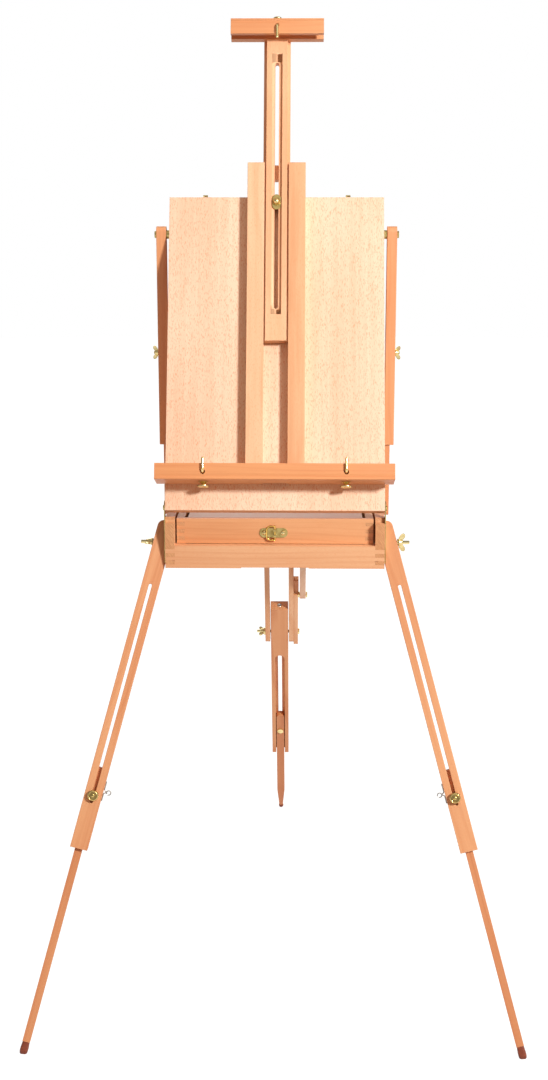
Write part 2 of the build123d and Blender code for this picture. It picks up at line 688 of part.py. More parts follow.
def canvas_rails():
    """Two grooved rails on the lid that guide the mast, and the cross block behind it."""
    rail = block((RAIL_INNER, RAIL_OUTER), (LEDGE_HIGH, RAIL_TOP), (0, RAIL_THICKNESS))
    rail -= block((RAIL_INNER - 1, RAIL_INNER + RAIL_GROOVE_DEPTH), (0, RAIL_TOP + 1), RAIL_GROOVE)
    back, front = CROSS_BLOCK
    cross = block((-RAIL_OUTER, RAIL_OUTER), (CROSS_BLOCK_LOW, RAIL_TOP + 1), (back, 0))
    cross += block((-RAIL_INNER, RAIL_INNER), (CROSS_BLOCK_LOW, RAIL_TOP + 1), (-1, front))
    return [LID.location * piece for piece in (rail, flip(rail), cross)]


def ledge_profile(base, height, lip, inner, outer, lip_back):
    """Outline of the ledge moulding: shelf, lip, a cove along its front and a bead below it."""
    up = 1 if height > base else -1
    bead = base + up * BEAD
    cove = base + up * COVE_HIGH
    hollow = outer - COVE_DEPTH
    shelf = Polyline((outer, cove), (outer, lip), (lip_back, lip), (lip_back, height), (inner, height),
                     (inner, base), (outer - BEAD_ROUND, base))
    corner = outer - BEAD_ROUND * (1 - math.sqrt(0.5))
    edge = ThreePointArc((outer - BEAD_ROUND, base), (corner, base + up * (outer - corner)),
                         (outer, base + up * BEAD_ROUND))
    step = Polyline((outer, base + up * BEAD_ROUND), (outer, bead), (hollow, bead))
    curve = ThreePointArc((hollow, bead), (hollow + COVE_DEPTH * 0.35, (bead + cove) / 2), (outer, cove))
    return make_face([shelf, edge, step, curve])


def canvas_ledge():
    """Shelf that the canvas stands on, with its lip, hook holes and thumbscrew holes."""
    face = ledge_profile(LEDGE_LOW, LEDGE_HIGH, LIP_HIGH, 0, LEDGE_DEPTH, LIP_BACK)
    end = Plane(origin=(-LEDGE_HALF, 0, 0), x_dir=(0, 0, 1), z_dir=(1, 0, 0))
    ledge = extrude(end * mirror(face, about=Plane.XZ), amount=2 * LEDGE_HALF)
    notch = (-LEDGE_NOTCH_HALF, LEDGE_NOTCH_HALF)
    ledge -= block(notch, (LEDGE_LOW - 1, LEDGE_HIGH + 1), (-1, LEDGE_NOTCH_DEPTH))
    for across in (-HOOK_ACROSS, HOOK_ACROSS):
        ledge -= rod((across, HOOK_UP, HOOK_INNER_END - 4), (across, HOOK_UP, LEDGE_DEPTH + 1), HOOK_HOLE)
        bore = THIN_BOLT_RADIUS + RUN
        ledge -= rod((across, LEDGE_LOW - 1, THUMB_FORWARD), (across, HOOK_UP, THUMB_FORWARD), bore)
    return LID.location * ledge


def ledge_hook():
    """Right L hook of the ledge: a rod in the ledge, turned up in front of the lip."""
    route = [(HOOK_UP, HOOK_INNER_END), (HOOK_UP, HOOK_REST), (HOOK_TIP, HOOK_REST)]
    path = [(HOOK_ACROSS, up, out) for up, out in route]
    return LID.location * bent_wire(path, HOOK_BEND, HOOK_WIRE)


def ledge_thumbscrew():
    """Right thumbscrew under the ledge, which pinches the hook's rod."""
    stand = Plane(origin=(HOOK_ACROSS, LEDGE_LOW - GAP, THUMB_FORWARD), x_dir=(1, 0, 0), z_dir=(0, -1, 0))
    reach = HOOK_UP - HOOK_WIRE - LEDGE_LOW
    return LID.location * (stand.location * thumbscrew(*LEDGE_THUMB, reach))


def mast():
    """Sliding mast with side tongues, a long slot and a groove along its front that runs out at its ends."""
    body = block((-MAST_HALF, MAST_HALF), (MAST_LOW, HOLDER_LOW), (TONGUE[1] - 1, MAST_FRONT))
    body += block((-TONGUE_HALF, TONGUE_HALF), (MAST_LOW, MAST_TOP), TONGUE)
    slot_half = MAST_SLOT_WIDTH / 2
    slot = block((-slot_half, slot_half), (MAST_SLOT[0] + slot_half, MAST_SLOT[1] - slot_half), (0, 30))
    for up in (MAST_SLOT[0] + slot_half, MAST_SLOT[1] - slot_half):
        slot += rod((0, up, 0), (0, up, 30), slot_half)
    body -= slot
    groove = MAST_GROOVE_WIDTH / 2
    floor = MAST_FRONT - MAST_GROOVE_DEPTH
    level = (MAST_GROOVE[0] + MAST_GROOVE_RUN_OUT, MAST_GROOVE[1] - MAST_GROOVE_RUN_OUT)
    body -= block((-groove, groove), level, (floor, MAST_FRONT + 1))
    radius = (MAST_GROOVE_RUN_OUT ** 2 + MAST_GROOVE_DEPTH ** 2) / (2 * MAST_GROOVE_DEPTH)
    for up in level:
        body -= rod((-groove, up, floor + radius), (groove, up, floor + radius), radius)
    return LID.location * body


def mast_clamp_plate():
    """Oval plate on the floor of the mast's groove, on the clamp's bolt."""
    length, width = CLAMP_PLATE
    ends = around(CLAMP_UP, (length - width) / 2)
    face = CLAMP_FLOOR + CLAMP_PLATE_THICKNESS
    plate = block(around(0, width / 2), ends, (CLAMP_FLOOR, face))
    for up in ends:
        plate += rod((0, up, CLAMP_FLOOR), (0, up, face), width / 2)
    return plate - rod((0, CLAMP_UP, 0), (0, CLAMP_UP, face + 1), BOLT_RADIUS)


def mast_clamp_nut():
    """Dome nut that presses the oval plate on the mast."""
    low_radius, high_radius = CLAMP_NUT
    low = CLAMP_FLOOR + CLAMP_PLATE_THICKNESS + RUN
    top = low + CLAMP_NUT_HEIGHT
    nut = cone((0, CLAMP_UP, low), (0, CLAMP_UP, top), low_radius, high_radius)
    dome = Pos(0, CLAMP_UP, top - 0.4) * Sphere(high_radius)
    nut += dome & block(around(0, 9), around(CLAMP_UP, 9), (top - 1, top + 5))
    bore_end = CLAMP_FLOOR + CLAMP_BOLT_OUT + GAP
    return LID.location * (nut - rod((0, CLAMP_UP, low - 1), (0, CLAMP_UP, bore_end), BOLT_RADIUS + RUN))


def top_holder():
    """Top canvas holder: the ledge's moulding turned over, let onto the mast's head."""
    face = ledge_profile(MAST_TOP, HOLDER_BLOCK_LOW, HOLDER_LIP_LOW, HOLDER_BACK, LEDGE_DEPTH, LIP_BACK)
    end = Plane(origin=(-HOLDER_HALF, 0, 0), x_dir=(0, 0, 1), z_dir=(1, 0, 0))
    holder = extrude(end * mirror(face, about=Plane.XZ), amount=2 * HOLDER_HALF)
    holder += block((-HOLDER_HALF, HOLDER_HALF), (HOLDER_LOW, MAST_TOP), (HOLDER_BACK, HOLDER_SPLIT))
    start = (0, HOLDER_HOOK_UP, HOOK_INNER_END)
    holder -= rod(start, (0, HOLDER_HOOK_UP, LEDGE_DEPTH + 1), HOLDER_HOOK_HOLE)
    out = HOLDER_THUMB_FORWARD
    holder -= rod((0, HOLDER_HOOK_UP, out), (0, MAST_TOP + 1, out), THIN_BOLT_RADIUS + RUN)
    return LID.location * holder


def top_holder_hook():
    """L hook of the top holder, turned down in front of its lip."""
    route = [(HOLDER_HOOK_UP, HOLDER_HOOK_END), (HOLDER_HOOK_UP, HOOK_REST), (HOLDER_HOOK_TIP, HOOK_REST)]
    path = [(0, up, out) for up, out in route]
    return LID.location * bent_wire(path, HOOK_BEND, HOOK_WIRE)


def top_holder_thumbscrew():
    """Thumbscrew on top of the holder."""
    stand = Plane(origin=(0, MAST_TOP + GAP, HOLDER_THUMB_FORWARD), x_dir=(1, 0, 0), z_dir=(0, 1, 0))
    reach = MAST_TOP - HOLDER_HOOK_UP - HOOK_WIRE
    return LID.location * (stand.location * thumbscrew(*HOLDER_THUMB, reach))


def strut_frame():
    """A strut's directions: X across, Z up along it, at its lower pivot."""
    return Plane(origin=STRUT_LOW_POINT, x_dir=(1, 0, 0), z_dir=STRUT_TOP_POINT - STRUT_LOW_POINT)


def strut_bar():
    """Right upper bar of the strut: a channel that the strip slides in, slotted for its bolt."""
    top = (STRUT_TOP_POINT - STRUT_LOW_POINT).length
    half = STRUT_DEPTH / 2
    inner = STRUT_INNER
    outer = STRUT_INNER + STRUT_THICKNESS
    low = top + BAR_ABOVE - BAR_LENGTH
    bar = block((inner, outer), (-half, half), (low, top + BAR_ABOVE - half))
    bar += rod((inner, 0, top + BAR_ABOVE - half), (outer, 0, top + BAR_ABOVE - half), half)
    depth, width = STRUT_CHANNEL
    bar -= block((inner - 1, inner + depth), (-width / 2, width / 2), (low - 1, top - CHANNEL_SHORT))
    slot = (STRIP_BOLT_UP - BAR_SLOT_BELOW, top - BAR_SLOT_SHORT)
    bar -= block((inner, outer + 1), (-BAR_SLOT_HALF, BAR_SLOT_HALF), slot)
    bar -= rod((inner - 1, 0, top), (outer + 1, 0, top), BOLT_RADIUS + RUN)
    return strut_frame().location * bar


def strut_strip():
    """Right lower strip of the strut, with its lower pivot bolt and the wing nut's bolt."""
    half = STRIP_DEPTH / 2
    inner = STRUT_INNER + 0.2
    outer = inner + STRIP_THICKNESS
    low = half - STRIP_BELOW
    bar = block((inner, outer), (-half, half), (low, STRIP_ABOVE))
    bar += rod((inner, 0, low), (outer, 0, low), half)
    bar += rod((BOX_WIDTH / 2 + GAP, 0, 0), (inner + 1, 0, 0), STRIP_PIVOT_RADIUS)
    bolt_end = STRUT_INNER + STRUT_THICKNESS + STRIP_BOLT_OUT
    bar += rod((outer - 1, 0, STRIP_BOLT_UP), (bolt_end, 0, STRIP_BOLT_UP), THIN_BOLT_RADIUS)
    return strut_frame().location * bar


def strut_wingnut():
    """Right wing nut that clamps the strip in the bar."""
    start = (STRUT_INNER + STRUT_THICKNESS + GAP, 0, STRIP_BOLT_UP)
    stand = Plane(origin=start, x_dir=(0, 1, 0), z_dir=(1, 0, 0))
    return strut_frame().location * (stand.location * wingnut(*STRUT_NUT, THIN_BOLT_RADIUS + RUN))


def drawer_front():
    """Drawer front with its finger joints."""
    inner = DRAWER_HALF - DRAWER_SIDE
    face = (DRAWER_FRONT_FACE, DRAWER_FRONT_FACE + DRAWER_FRONT)
    front = block((-inner, inner), face, (DRAWER_LOW, DRAWER_HIGH))
    for low, high in finger_rows(DRAWER_LOW, DRAWER_HIGH, DRAWER_FINGERS, 0):
        front += block((-DRAWER_HALF, DRAWER_HALF), face, (low, high))
    return front


def drawer_frame():
    """Drawer sides, back, bottom and the dividers that the palette lies on."""
    inner = DRAWER_HALF - DRAWER_SIDE
    start = DRAWER_FRONT_FACE + DRAWER_FRONT
    end = DRAWER_BACK_FACE
    floor = DRAWER_LOW + DRAWER_FLOOR
    side = block((inner, DRAWER_HALF), (DRAWER_FRONT_FACE, end), (DRAWER_LOW, DRAWER_HIGH))
    for low, high in finger_rows(DRAWER_LOW, DRAWER_HIGH, DRAWER_FINGERS, 0):
        side -= block((inner - 1, DRAWER_HALF + 1), (DRAWER_FRONT_FACE - 1, start), (low, high))
    back = block((-inner, inner), (end - DRAWER_BACK, end), (floor, DRAWER_HIGH))
    bottom = block((-inner, inner), (start, end), (DRAWER_LOW, floor))
    rest = DRAWER_HIGH - PALETTE_THICKNESS - PALETTE_SUNK
    half = DIVIDER_HALF
    long_divider = block((-half, half), (start, end - DRAWER_BACK), (floor, rest))
    cross_divider = block((half, inner), around(CROSS_DIVIDER, half), (floor, rest))
    return [side, flip(side), back, bottom, long_divider, cross_divider]


def palette():
    """Thin palette that lies on the drawer's dividers, with a thumb hole."""
    start = DRAWER_FRONT_FACE + DRAWER_FRONT + 1
    high = DRAWER_HIGH - PALETTE_SUNK
    low = high - PALETTE_THICKNESS
    board = block((-PALETTE_HALF, PALETTE_HALF), (start, start + PALETTE_LENGTH), (low, high))
    hole = extrude(Ellipse(*PALETTE_HOLE_SIZE), amount=2 * PALETTE_THICKNESS, both=True)
    return board - Pos(*PALETTE_HOLE, high) * hole


def drawer_latch_plate():
    """Brass plate on the drawer front with the ring's two lugs and its screws."""
    face = DRAWER_FRONT_FACE
    front = face - LATCH_THICKNESS
    middle = LATCH_MIDDLE
    plate = block(LATCH_ENDS, (front, face), around(middle, LATCH_HALF))
    wide, narrow, screw_height = LATCH_SCREW
    for across in LATCH_ENDS:
        plate += rod((across, front, middle), (across, face, middle), LATCH_HALF)
        plate += cone((across, front, middle), (across, front - screw_height, middle), wide, narrow)
    pin = face - LATCH_PIN_OUT
    lug_depth = (pin - LATCH_LUG_HALF, face - 1)
    near, far = LATCH_LUG
    for lug in ((middle + near, middle + far), (middle - far, middle - near)):
        plate += block((-LATCH_LUG_HALF, LATCH_LUG_HALF), lug_depth, lug)
    return plate - rod((0, pin, middle - far - 1), (0, pin, middle + far + 1), LATCH_PIN)


def drawer_latch_ring():
    """D ring on an upright pin through the latch's lugs."""
    y = DRAWER_FRONT_FACE - LATCH_PIN_OUT
    out, half = LATCH_RING
    low, high = around(LATCH_MIDDLE, half)
    ring = rod((0, y, low), (0, y, high), LATCH_PIN - RUN)
    path = [(0, y, low), (-out, y, low), (-out, y, high), (0, y, high)]
    ring += bent_wire(path, LATCH_RING_BEND, LATCH_RING_WIRE)
    for end in (low, high):
        ring += Pos(0, y, end) * Sphere(LATCH_RING_WIRE)
    return ring


def leg_body():
    """Right outer front leg in its own directions, before its grooves."""
    body = block(around(0, LEG_HALF_WIDTH), around(0, LEG_HALF_DEPTH), (-LEG_ABOVE, LEG_OUTER_END))
    top = body.edges().filter_by(Axis.Y).sort_by(Axis.Z)[:2].sort_by(Axis.X)[-1]
    return fillet(top, LEG_HEAD_ROUND)


def front_leg_outer():
    """Right outer front leg: slot at its front, groove at its back, bevelled beside the box."""
    leg = leg_body()
    half = LEG_SLOT_WIDTH / 2
    depth = LEG_HALF_DEPTH + 1
    ends = (LEG_SLOT[0] + half, LEG_SLOT[1] - half)
    leg -= block((-half, half), (-depth, depth), ends)
    for down in ends:
        leg -= rod((0, -depth, down), (0, depth, down), half)
    groove = LEG_GROOVE_WIDTH / 2
    leg -= block((-groove, groove), (-LEG_HALF_DEPTH - 1, LEG_GROOVE_DEPTH - LEG_HALF_DEPTH),
                 (LEG_GROOVE_TOP, LEG_OUTER_END + 1))
    leg -= rod((-LEG_HALF_WIDTH - 1, 0, 0), (LEG_HALF_WIDTH + 1, 0, 0), LEG_HOLE_RADIUS)
    leg -= rod((LEG_HALF_WIDTH - LEG_SEAT_DEPTH, 0, 0), (LEG_HALF_WIDTH + 1, 0, 0), LEG_SEAT_RADIUS)
    for down in CLIP_STAPLES:
        leg -= rod((-LEG_HALF_WIDTH - 1, 0, down), (CLIP_STAPLE_DEPTH - LEG_HALF_WIDTH, 0, down), CLIP_WIRE)
    leg = LEG.location * leg
    reach = around(LEG_PIVOT.Y, 2 * LEG_ABOVE)
    return leg - block((0, LEG_SIDE_CLEAR), reach, around(LEG_PIVOT.Z, 2 * LEG_ABOVE + LEG_HALF_WIDTH))


def front_leg_inner():
    """Right inner front leg, with the bore for its knob's bolt."""
    back = -LEG_HALF_DEPTH
    inner = block((-INNER_LEG_WIDTH / 2, INNER_LEG_WIDTH / 2), (back, back + INNER_LEG_DEPTH),
                  (INNER_LEG_TOP, INNER_LEG_END))
    front = back + INNER_LEG_DEPTH
    inner -= rod((0, back - 1, LEG_KNOB_DOWN), (0, front + 1, LEG_KNOB_DOWN), THIN_BOLT_RADIUS + RUN)
    return LEG.location * inner


def front_leg_foot():
    """Right front foot, cut flat where it stands on the floor."""
    middle = INNER_LEG_DEPTH / 2 - LEG_HALF_DEPTH
    half = LEG_FOOT_WIDTH / 2
    foot = block((-half, half), around(middle, half), (INNER_LEG_END, INNER_LEG_END + FOOT_STOCK))
    foot = LEG.location * fillet(foot.edges().filter_by(Axis.Z), FOOT_EDGE)
    return foot - below_floor()


def front_leg_knob():
    """Right knob of the front leg: a round knob with its bolt through the slot."""
    down = LEG_KNOB_DOWN
    face = LEG_HALF_DEPTH + GAP
    stand = Plane(origin=(0, face, down), x_dir=(1, 0, 0), z_dir=(0, 1, 0))
    end = -LEG_HALF_DEPTH - BOLT_CAP
    knob = stand.location * round_knob(LEG_KNOB_RADIUS, KNOB_HEIGHT)
    knob += rod((0, face + 1, down), (0, end, down), THIN_BOLT_RADIUS)
    knob += rod((0, -LEG_HALF_DEPTH - GAP, down), (0, end, down), KNOB_HEAD)
    return LEG.location * knob


def front_leg_washer():
    """Right cup washer between the leg and its wing nut."""
    y, z = LEG_PIVOT.Y, LEG_PIVOT.Z
    washer = cone((WASHER[0], y, z), (WASHER[1], y, z), WASHER_RADIUS, WASHER_RADIUS - 0.8)
    return washer - rod((WASHER[0] - 1, y, z), (WASHER[1] + 1, y, z), LEG_BOLT_RADIUS + RUN)


def front_leg_wingnut(turned):
    """Right wing nut on the leg's pivot bolt, its wings turned from front to back or upright."""
    stand = Plane(origin=(WASHER[1] + RUN, LEG_PIVOT.Y, LEG_PIVOT.Z), x_dir=(0, 1, 0), z_dir=(1, 0, 0))
    nut = wingnut(*LEG_NUT, LEG_BOLT_RADIUS + RUN)
    return stand.location * (Rot(0, 0, 90) * nut if turned else nut)


def leg_wire_clip():
    """Right wire clip: two arms along the leg's inner side and a loop that stands out."""
    face = -LEG_HALF_WIDTH - 1.2
    knot = CLIP_DOWN + 1
    neck = face - CLIP_NECK
    clip = Pos(neck - CLIP_LOOP + CLIP_WIRE / 2, 0, knot) * Rot(90, 0, 0) * Torus(CLIP_LOOP, CLIP_WIRE)
    for down, side in zip(CLIP_STAPLES, (-1, 1)):
        path = [(face, 0, down), (face, 0, knot + side * 3 * CLIP_WIRE), (neck, 0, knot)]
        clip += bent_wire(path, 2 * CLIP_WIRE, CLIP_WIRE)
        clip += rod((face - 0.6, 0, down), (CLIP_STAPLE_DEPTH - LEG_HALF_WIDTH, 0, down), CLIP_WIRE)
    return LEG.location * clip


def rear_fork_arms():
    """Two arms of the rear fork, with the cheek on the outside of the right arm."""
    half = ARM_HALF_DEPTH
    arm = block((ARM_INNER, ARM_OUTER), (-half, half), (0, ARM_END - half))
    for down in (0, ARM_END - half):
        arm += rod((ARM_INNER, 0, down), (ARM_OUTER, 0, down), half)
    arm -= rod((ARM_INNER - 1, 0, 0), (ARM_OUTER + 1, 0, 0), BOLT_RADIUS + RUN)
    arm -= rod((ARM_INNER - 1, 0, REAR_KNEE_DOWN), (ARM_OUTER + 1, 0, REAR_KNEE_DOWN), BOLT_RADIUS)
    left = flip(arm)
    start = ARM_INNER + STAY_BOLT_SHORT
    arm -= rod((start, 0, STAY_KNEE_DOWN), (ARM_OUTER + 1, 0, STAY_KNEE_DOWN), BOLT_RADIUS)
    cheek = block((ARM_OUTER, CHEEK_OUTER), (-half, half), (CHEEK_STEP, ARM_END))
    cheek += block((ARM_OUTER, CHEEK_OUTER + 1), (-half, CHEEK_HEAD_FRONT), (CHEEK_TOP, CHEEK_STEP))
    for down in (STAY_KNEE_DOWN, REAR_KNEE_DOWN):
        cheek -= rod((ARM_OUTER - 1, 0, down), (CHEEK_OUTER + 2, 0, down), BOLT_RADIUS)
    return [REAR.location * piece for piece in (arm, left, cheek)]


def rear_fork_bolts():
    """Bolts that turn with the fork: the knee bolt, its washer and the stay's bolt."""
    down = REAR_KNEE_DOWN
    knee = rod((KNEE_BOLT_LEFT, 0, down), (CHEEK_OUTER + BOLT_CAP, 0, down), BOLT_RADIUS)
    knee += rod((CHEEK_OUTER, 0, down), (CHEEK_OUTER + BOLT_CAP, 0, down), BOLT_COLLAR)
    radius, thickness = KNEE_WASHER
    washer = rod((-ARM_OUTER - thickness, 0, down), (-ARM_OUTER, 0, down), radius)
    washer -= rod((-ARM_OUTER - thickness - 1, 0, down), (1 - ARM_OUTER, 0, down), BOLT_RADIUS)
    down = STAY_KNEE_DOWN
    cap = STAY_OUTER + GAP + BOLT_CAP
    stay = rod((ARM_INNER + STAY_BOLT_SHORT, 0, down), (cap, 0, down), BOLT_RADIUS)
    stay += rod((STAY_OUTER + GAP, 0, down), (cap, 0, down), BOLT_COLLAR)
    stay += rod((CHEEK_OUTER, 0, down), (STAY_INNER - GAP, 0, down), BOLT_COLLAR)
    return [REAR.location * piece for piece in (knee, washer, stay)]


def bracket_bolts():
    """Short bolts through the fork brackets, which the fork turns on."""
    y, z = REAR_PIVOT.Y, REAR_PIVOT.Z
    end = BRACKET_OUTER + BOLT_CAP
    bolt = rod((ARM_INNER, y, z), (end, y, z), BOLT_RADIUS)
    bolt += rod((BRACKET_OUTER, y, z), (end, y, z), BOLT_COLLAR)
    bolt += rod((ARM_OUTER + GAP, y, z), (BRACKET_INNER, y, z), BOLT_COLLAR)
    return [bolt, flip(bolt)]


def rear_outer_leg():
    """Rear outer leg between the fork's arms: front groove and through slot."""
    across = (-REAR_HALF_WIDTH, REAR_HALF_WIDTH)
    leg = block(across, (-REAR_HALF_DEPTH, REAR_HALF_DEPTH), (REAR_OUTER_TOP, REAR_OUTER_END))
    groove = REAR_GROOVE_WIDTH / 2
    floor = REAR_HALF_DEPTH - REAR_GROOVE_DEPTH
    head = REAR_GROOVE_TOP + groove
    leg -= block((-groove, groove), (floor, REAR_HALF_DEPTH + 1), (head, REAR_OUTER_END + 1))
    leg -= rod((0, floor, head), (0, REAR_HALF_DEPTH + 1, head), groove)
    half = REAR_SLOT_WIDTH / 2
    depth = REAR_HALF_DEPTH + 1
    ends = (REAR_SLOT[0] + half, REAR_SLOT[1] - half)
    leg -= block((-half, half), (-depth, depth), ends)
    for down in ends:
        leg -= rod((0, -depth, down), (0, depth, down), half)
    reach = REAR_HALF_WIDTH + 1
    leg -= rod((-reach, 0, REAR_KNEE_DOWN), (reach, 0, REAR_KNEE_DOWN), BOLT_RADIUS + RUN)
    return REAR.location * leg


def rear_inner_leg():
    """Rear inner leg: round head, straight shank and a tapered end above the foot."""
    low, high = REAR_INNER_DEPTH
    half = REAR_INNER_WIDTH / 2
    tip = REAR_TAPER_WIDTH / 2
    middle = (low + high) / 2
    inner = block((-half, half), (low, high), (REAR_INNER_TOP + half, REAR_TAPER[0]))
    inner += rod((0, low, REAR_INNER_TOP + half), (0, high, REAR_INNER_TOP + half), half)
    wide = Pos(0, middle, REAR_TAPER[0]) * Rectangle(2 * half, high - low)
    narrow = Pos(0, middle, REAR_TAPER[1]) * Rectangle(2 * tip, 2 * tip)
    inner += loft([wide.face(), narrow.face()])
    inner -= rod((0, low - 1, REAR_BOLT_DOWN), (0, high + 1, REAR_BOLT_DOWN), BOLT_RADIUS)
    return REAR.location * inner


def rear_foot():
    """Rear foot: a small rubber ball on the leg's end, cut flat at the floor."""
    middle = sum(REAR_INNER_DEPTH) / 2
    end = REAR_TAPER[1]
    foot = rod((0, middle, end), (0, middle, end + FOOT_STOCK), REAR_FOOT_RADIUS)
    return REAR.location * foot - below_floor()


def rear_stay():
    """Stay strip that props the fork from the box, with its upper bolt."""
    bar = strip(STAY_KNEE, STAY_TOP, (STAY_INNER, STAY_OUTER), STAY_HALF_DEPTH)
    knee, top = STAY_KNEE, STAY_TOP
    bar -= rod((STAY_INNER - 1, knee.Y, knee.Z), (STAY_OUTER + 1, knee.Y, knee.Z), BOLT_RADIUS + RUN)
    bar += rod((BRACKET_INNER + 2, top.Y, top.Z), (STAY_INNER + 1, top.Y, top.Z), BOLT_RADIUS)
    return bar + rod((STAY_OUTER - 1, top.Y, top.Z), (STAY_OUTER + BOLT_CAP, top.Y, top.Z), BOLT_COLLAR)


def rear_pivot_wingnut():
    """Wing nut on the left end of the rear knee bolt."""
    start = -ARM_OUTER - KNEE_WASHER[1] - GAP
    stand = Plane(origin=(start, 0, REAR_KNEE_DOWN), x_dir=(0, 0, 1), z_dir=(-1, 0, 0))
    return REAR.location * (stand.location * wingnut(*KNEE_NUT, BOLT_RADIUS + RUN))


def rear_clamp_bolt():
    """Bolt with a round head that holds the rear inner leg in the slot."""
    base = REAR_INNER_DEPTH[1]
    end = -REAR_HALF_DEPTH - REAR_BOLT_OUT
    radius, height = REAR_HEAD
    bolt = rod((0, base, REAR_BOLT_DOWN), (0, end, REAR_BOLT_DOWN), BOLT_RADIUS)
    bolt += rod((0, base, REAR_BOLT_DOWN), (0, base + height, REAR_BOLT_DOWN), radius)
    return REAR.location * bolt


def rear_clamp_wingnut():
    """Wing nut behind the rear leg."""
    stand = Plane(origin=(0, -REAR_HALF_DEPTH - GAP, REAR_BOLT_DOWN), x_dir=(0, 0, 1), z_dir=(0, -1, 0))
    return REAR.location * (stand.location * wingnut(*KNEE_NUT, BOLT_RADIUS + RUN))


def all_pieces():
    """Every node's shape by name, around the bottom centre of the box's front face."""
    pieces = {
        "box_side_right": box_side(),
        "box_front_rail": box_front_rail(),
        "box_back_board": box_back_board(),
        "box_bottom_panel": box_bottom_panel(),
        "drawer_runners": drawer_runners(),
        "side_straps": side_straps(),
        "box_bolts": leg_pivot_bolts() + bracket_bolts(),
        "rear_brackets": rear_bearers() + rear_brackets(),
        "back_fittings": back_fittings(),
        "catch_levers": catch_levers(),
        "carry_handle": carry_handle(),
        "lid_panel": lid_panel(),
        "lid_frame": lid_frame(),
        "lid_brass": lid_brass(),
        "canvas_rails": canvas_rails(),
        "canvas_ledge": canvas_ledge(),
        "ledge_hook_right": ledge_hook(),
        "ledge_thumbscrew_right": ledge_thumbscrew(),
        "mast": mast(),
        "mast_clamp_nut": mast_clamp_nut(),
        "top_holder": top_holder(),
        "top_holder_hook": top_holder_hook(),
        "top_holder_thumbscrew": top_holder_thumbscrew(),
        "strut_bar_right": strut_bar(),
        "strut_strip_right": strut_strip(),
        "strut_wingnut_right": strut_wingnut(),
        "drawer_front": drawer_front(),
        "drawer_frame": drawer_frame(),
        "palette": palette(),
        "drawer_latch_plate": drawer_latch_plate(),
        "drawer_latch_ring": drawer_latch_ring(),
        "front_leg_outer_right": front_leg_outer(),
        "front_leg_inner_right": front_leg_inner(),
        "front_leg_foot_right": front_leg_foot(),
        "front_leg_knob_right": front_leg_knob(),
        "front_leg_washer_right": front_leg_washer(),
        "front_leg_wingnut_right": front_leg_wingnut(turned=False),
        "front_leg_wingnut_left": flip(front_leg_wingnut(turned=True)),
        "leg_wire_clip_right": leg_wire_clip(),
        "rear_fork_arms": rear_fork_arms(),
        "rear_fork_bolts": rear_fork_bolts(),
        "rear_outer_leg": rear_outer_leg(),
        "rear_inner_leg": rear_inner_leg(),
        "rear_foot": rear_foot(),
        "rear_stay": rear_stay(),
        "rear_pivot_wingnut": rear_pivot_wingnut(),
        "rear_clamp_bolt": rear_clamp_bolt(),
        "rear_clamp_wingnut": rear_clamp_wingnut(),
    }
    for name in [name for name in pieces if name.endswith("_right")]:
        pieces.setdefault(name.replace("_right", "_left"), flip(pieces[name]))
    return pieces


def as_list(piece):
    """A node's solids as a list."""
    return piece if isinstance(piece, list) else [piece]


def reach(pieces):
    """Lowest and highest corners of all the pieces together."""
    boxes = [solid.bounding_box() for piece in pieces.values() for solid in as_list(piece)]
    low = [min(getattr(box.min, axis) for box in boxes) for axis in "XYZ"]
    high = [max(getattr(box.max, axis) for box in boxes) for axis in "XYZ"]
    return low, high


PIECES = all_pieces()
LOW, HIGH = reach(PIECES)
ORIGIN = Vector((LOW[0] + HIGH[0]) / 2, (LOW[1] + HIGH[1]) / 2, LOW[2])

os.makedirs("parts", exist_ok=True)
for node, piece in PIECES.items():
    placed = [Pos(*(-ORIGIN)) * solid for solid in as_list(piece)]
    shape = placed[0] if len(placed) == 1 else Compound(children=placed)
    export_step(shape, f"parts/{node}.step")
print("size", [round(high - low, 1) for low, high in zip(LOW, HIGH)], "origin", ORIGIN)
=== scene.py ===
import json
import math
import bmesh
import bpy
from mathutils import Matrix, Vector

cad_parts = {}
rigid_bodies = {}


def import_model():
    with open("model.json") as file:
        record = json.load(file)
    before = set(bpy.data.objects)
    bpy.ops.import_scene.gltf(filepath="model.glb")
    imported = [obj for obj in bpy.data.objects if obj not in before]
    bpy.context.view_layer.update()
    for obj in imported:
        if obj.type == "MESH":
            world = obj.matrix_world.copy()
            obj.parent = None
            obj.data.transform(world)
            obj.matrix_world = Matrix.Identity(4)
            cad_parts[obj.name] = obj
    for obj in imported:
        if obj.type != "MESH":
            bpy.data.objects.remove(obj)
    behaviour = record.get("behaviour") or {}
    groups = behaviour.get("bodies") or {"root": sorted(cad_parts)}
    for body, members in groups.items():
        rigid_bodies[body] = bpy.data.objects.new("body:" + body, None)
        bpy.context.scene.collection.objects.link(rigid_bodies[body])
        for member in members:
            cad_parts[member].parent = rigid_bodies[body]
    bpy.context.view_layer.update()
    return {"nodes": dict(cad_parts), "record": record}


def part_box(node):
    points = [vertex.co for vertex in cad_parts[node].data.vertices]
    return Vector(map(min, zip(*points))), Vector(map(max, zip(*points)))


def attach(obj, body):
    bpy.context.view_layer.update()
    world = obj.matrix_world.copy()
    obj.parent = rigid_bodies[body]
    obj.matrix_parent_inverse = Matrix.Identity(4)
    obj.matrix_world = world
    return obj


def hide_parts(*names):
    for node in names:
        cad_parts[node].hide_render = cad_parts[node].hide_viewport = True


for leftover in list(bpy.data.objects):
    bpy.data.objects.remove(leftover)
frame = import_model()

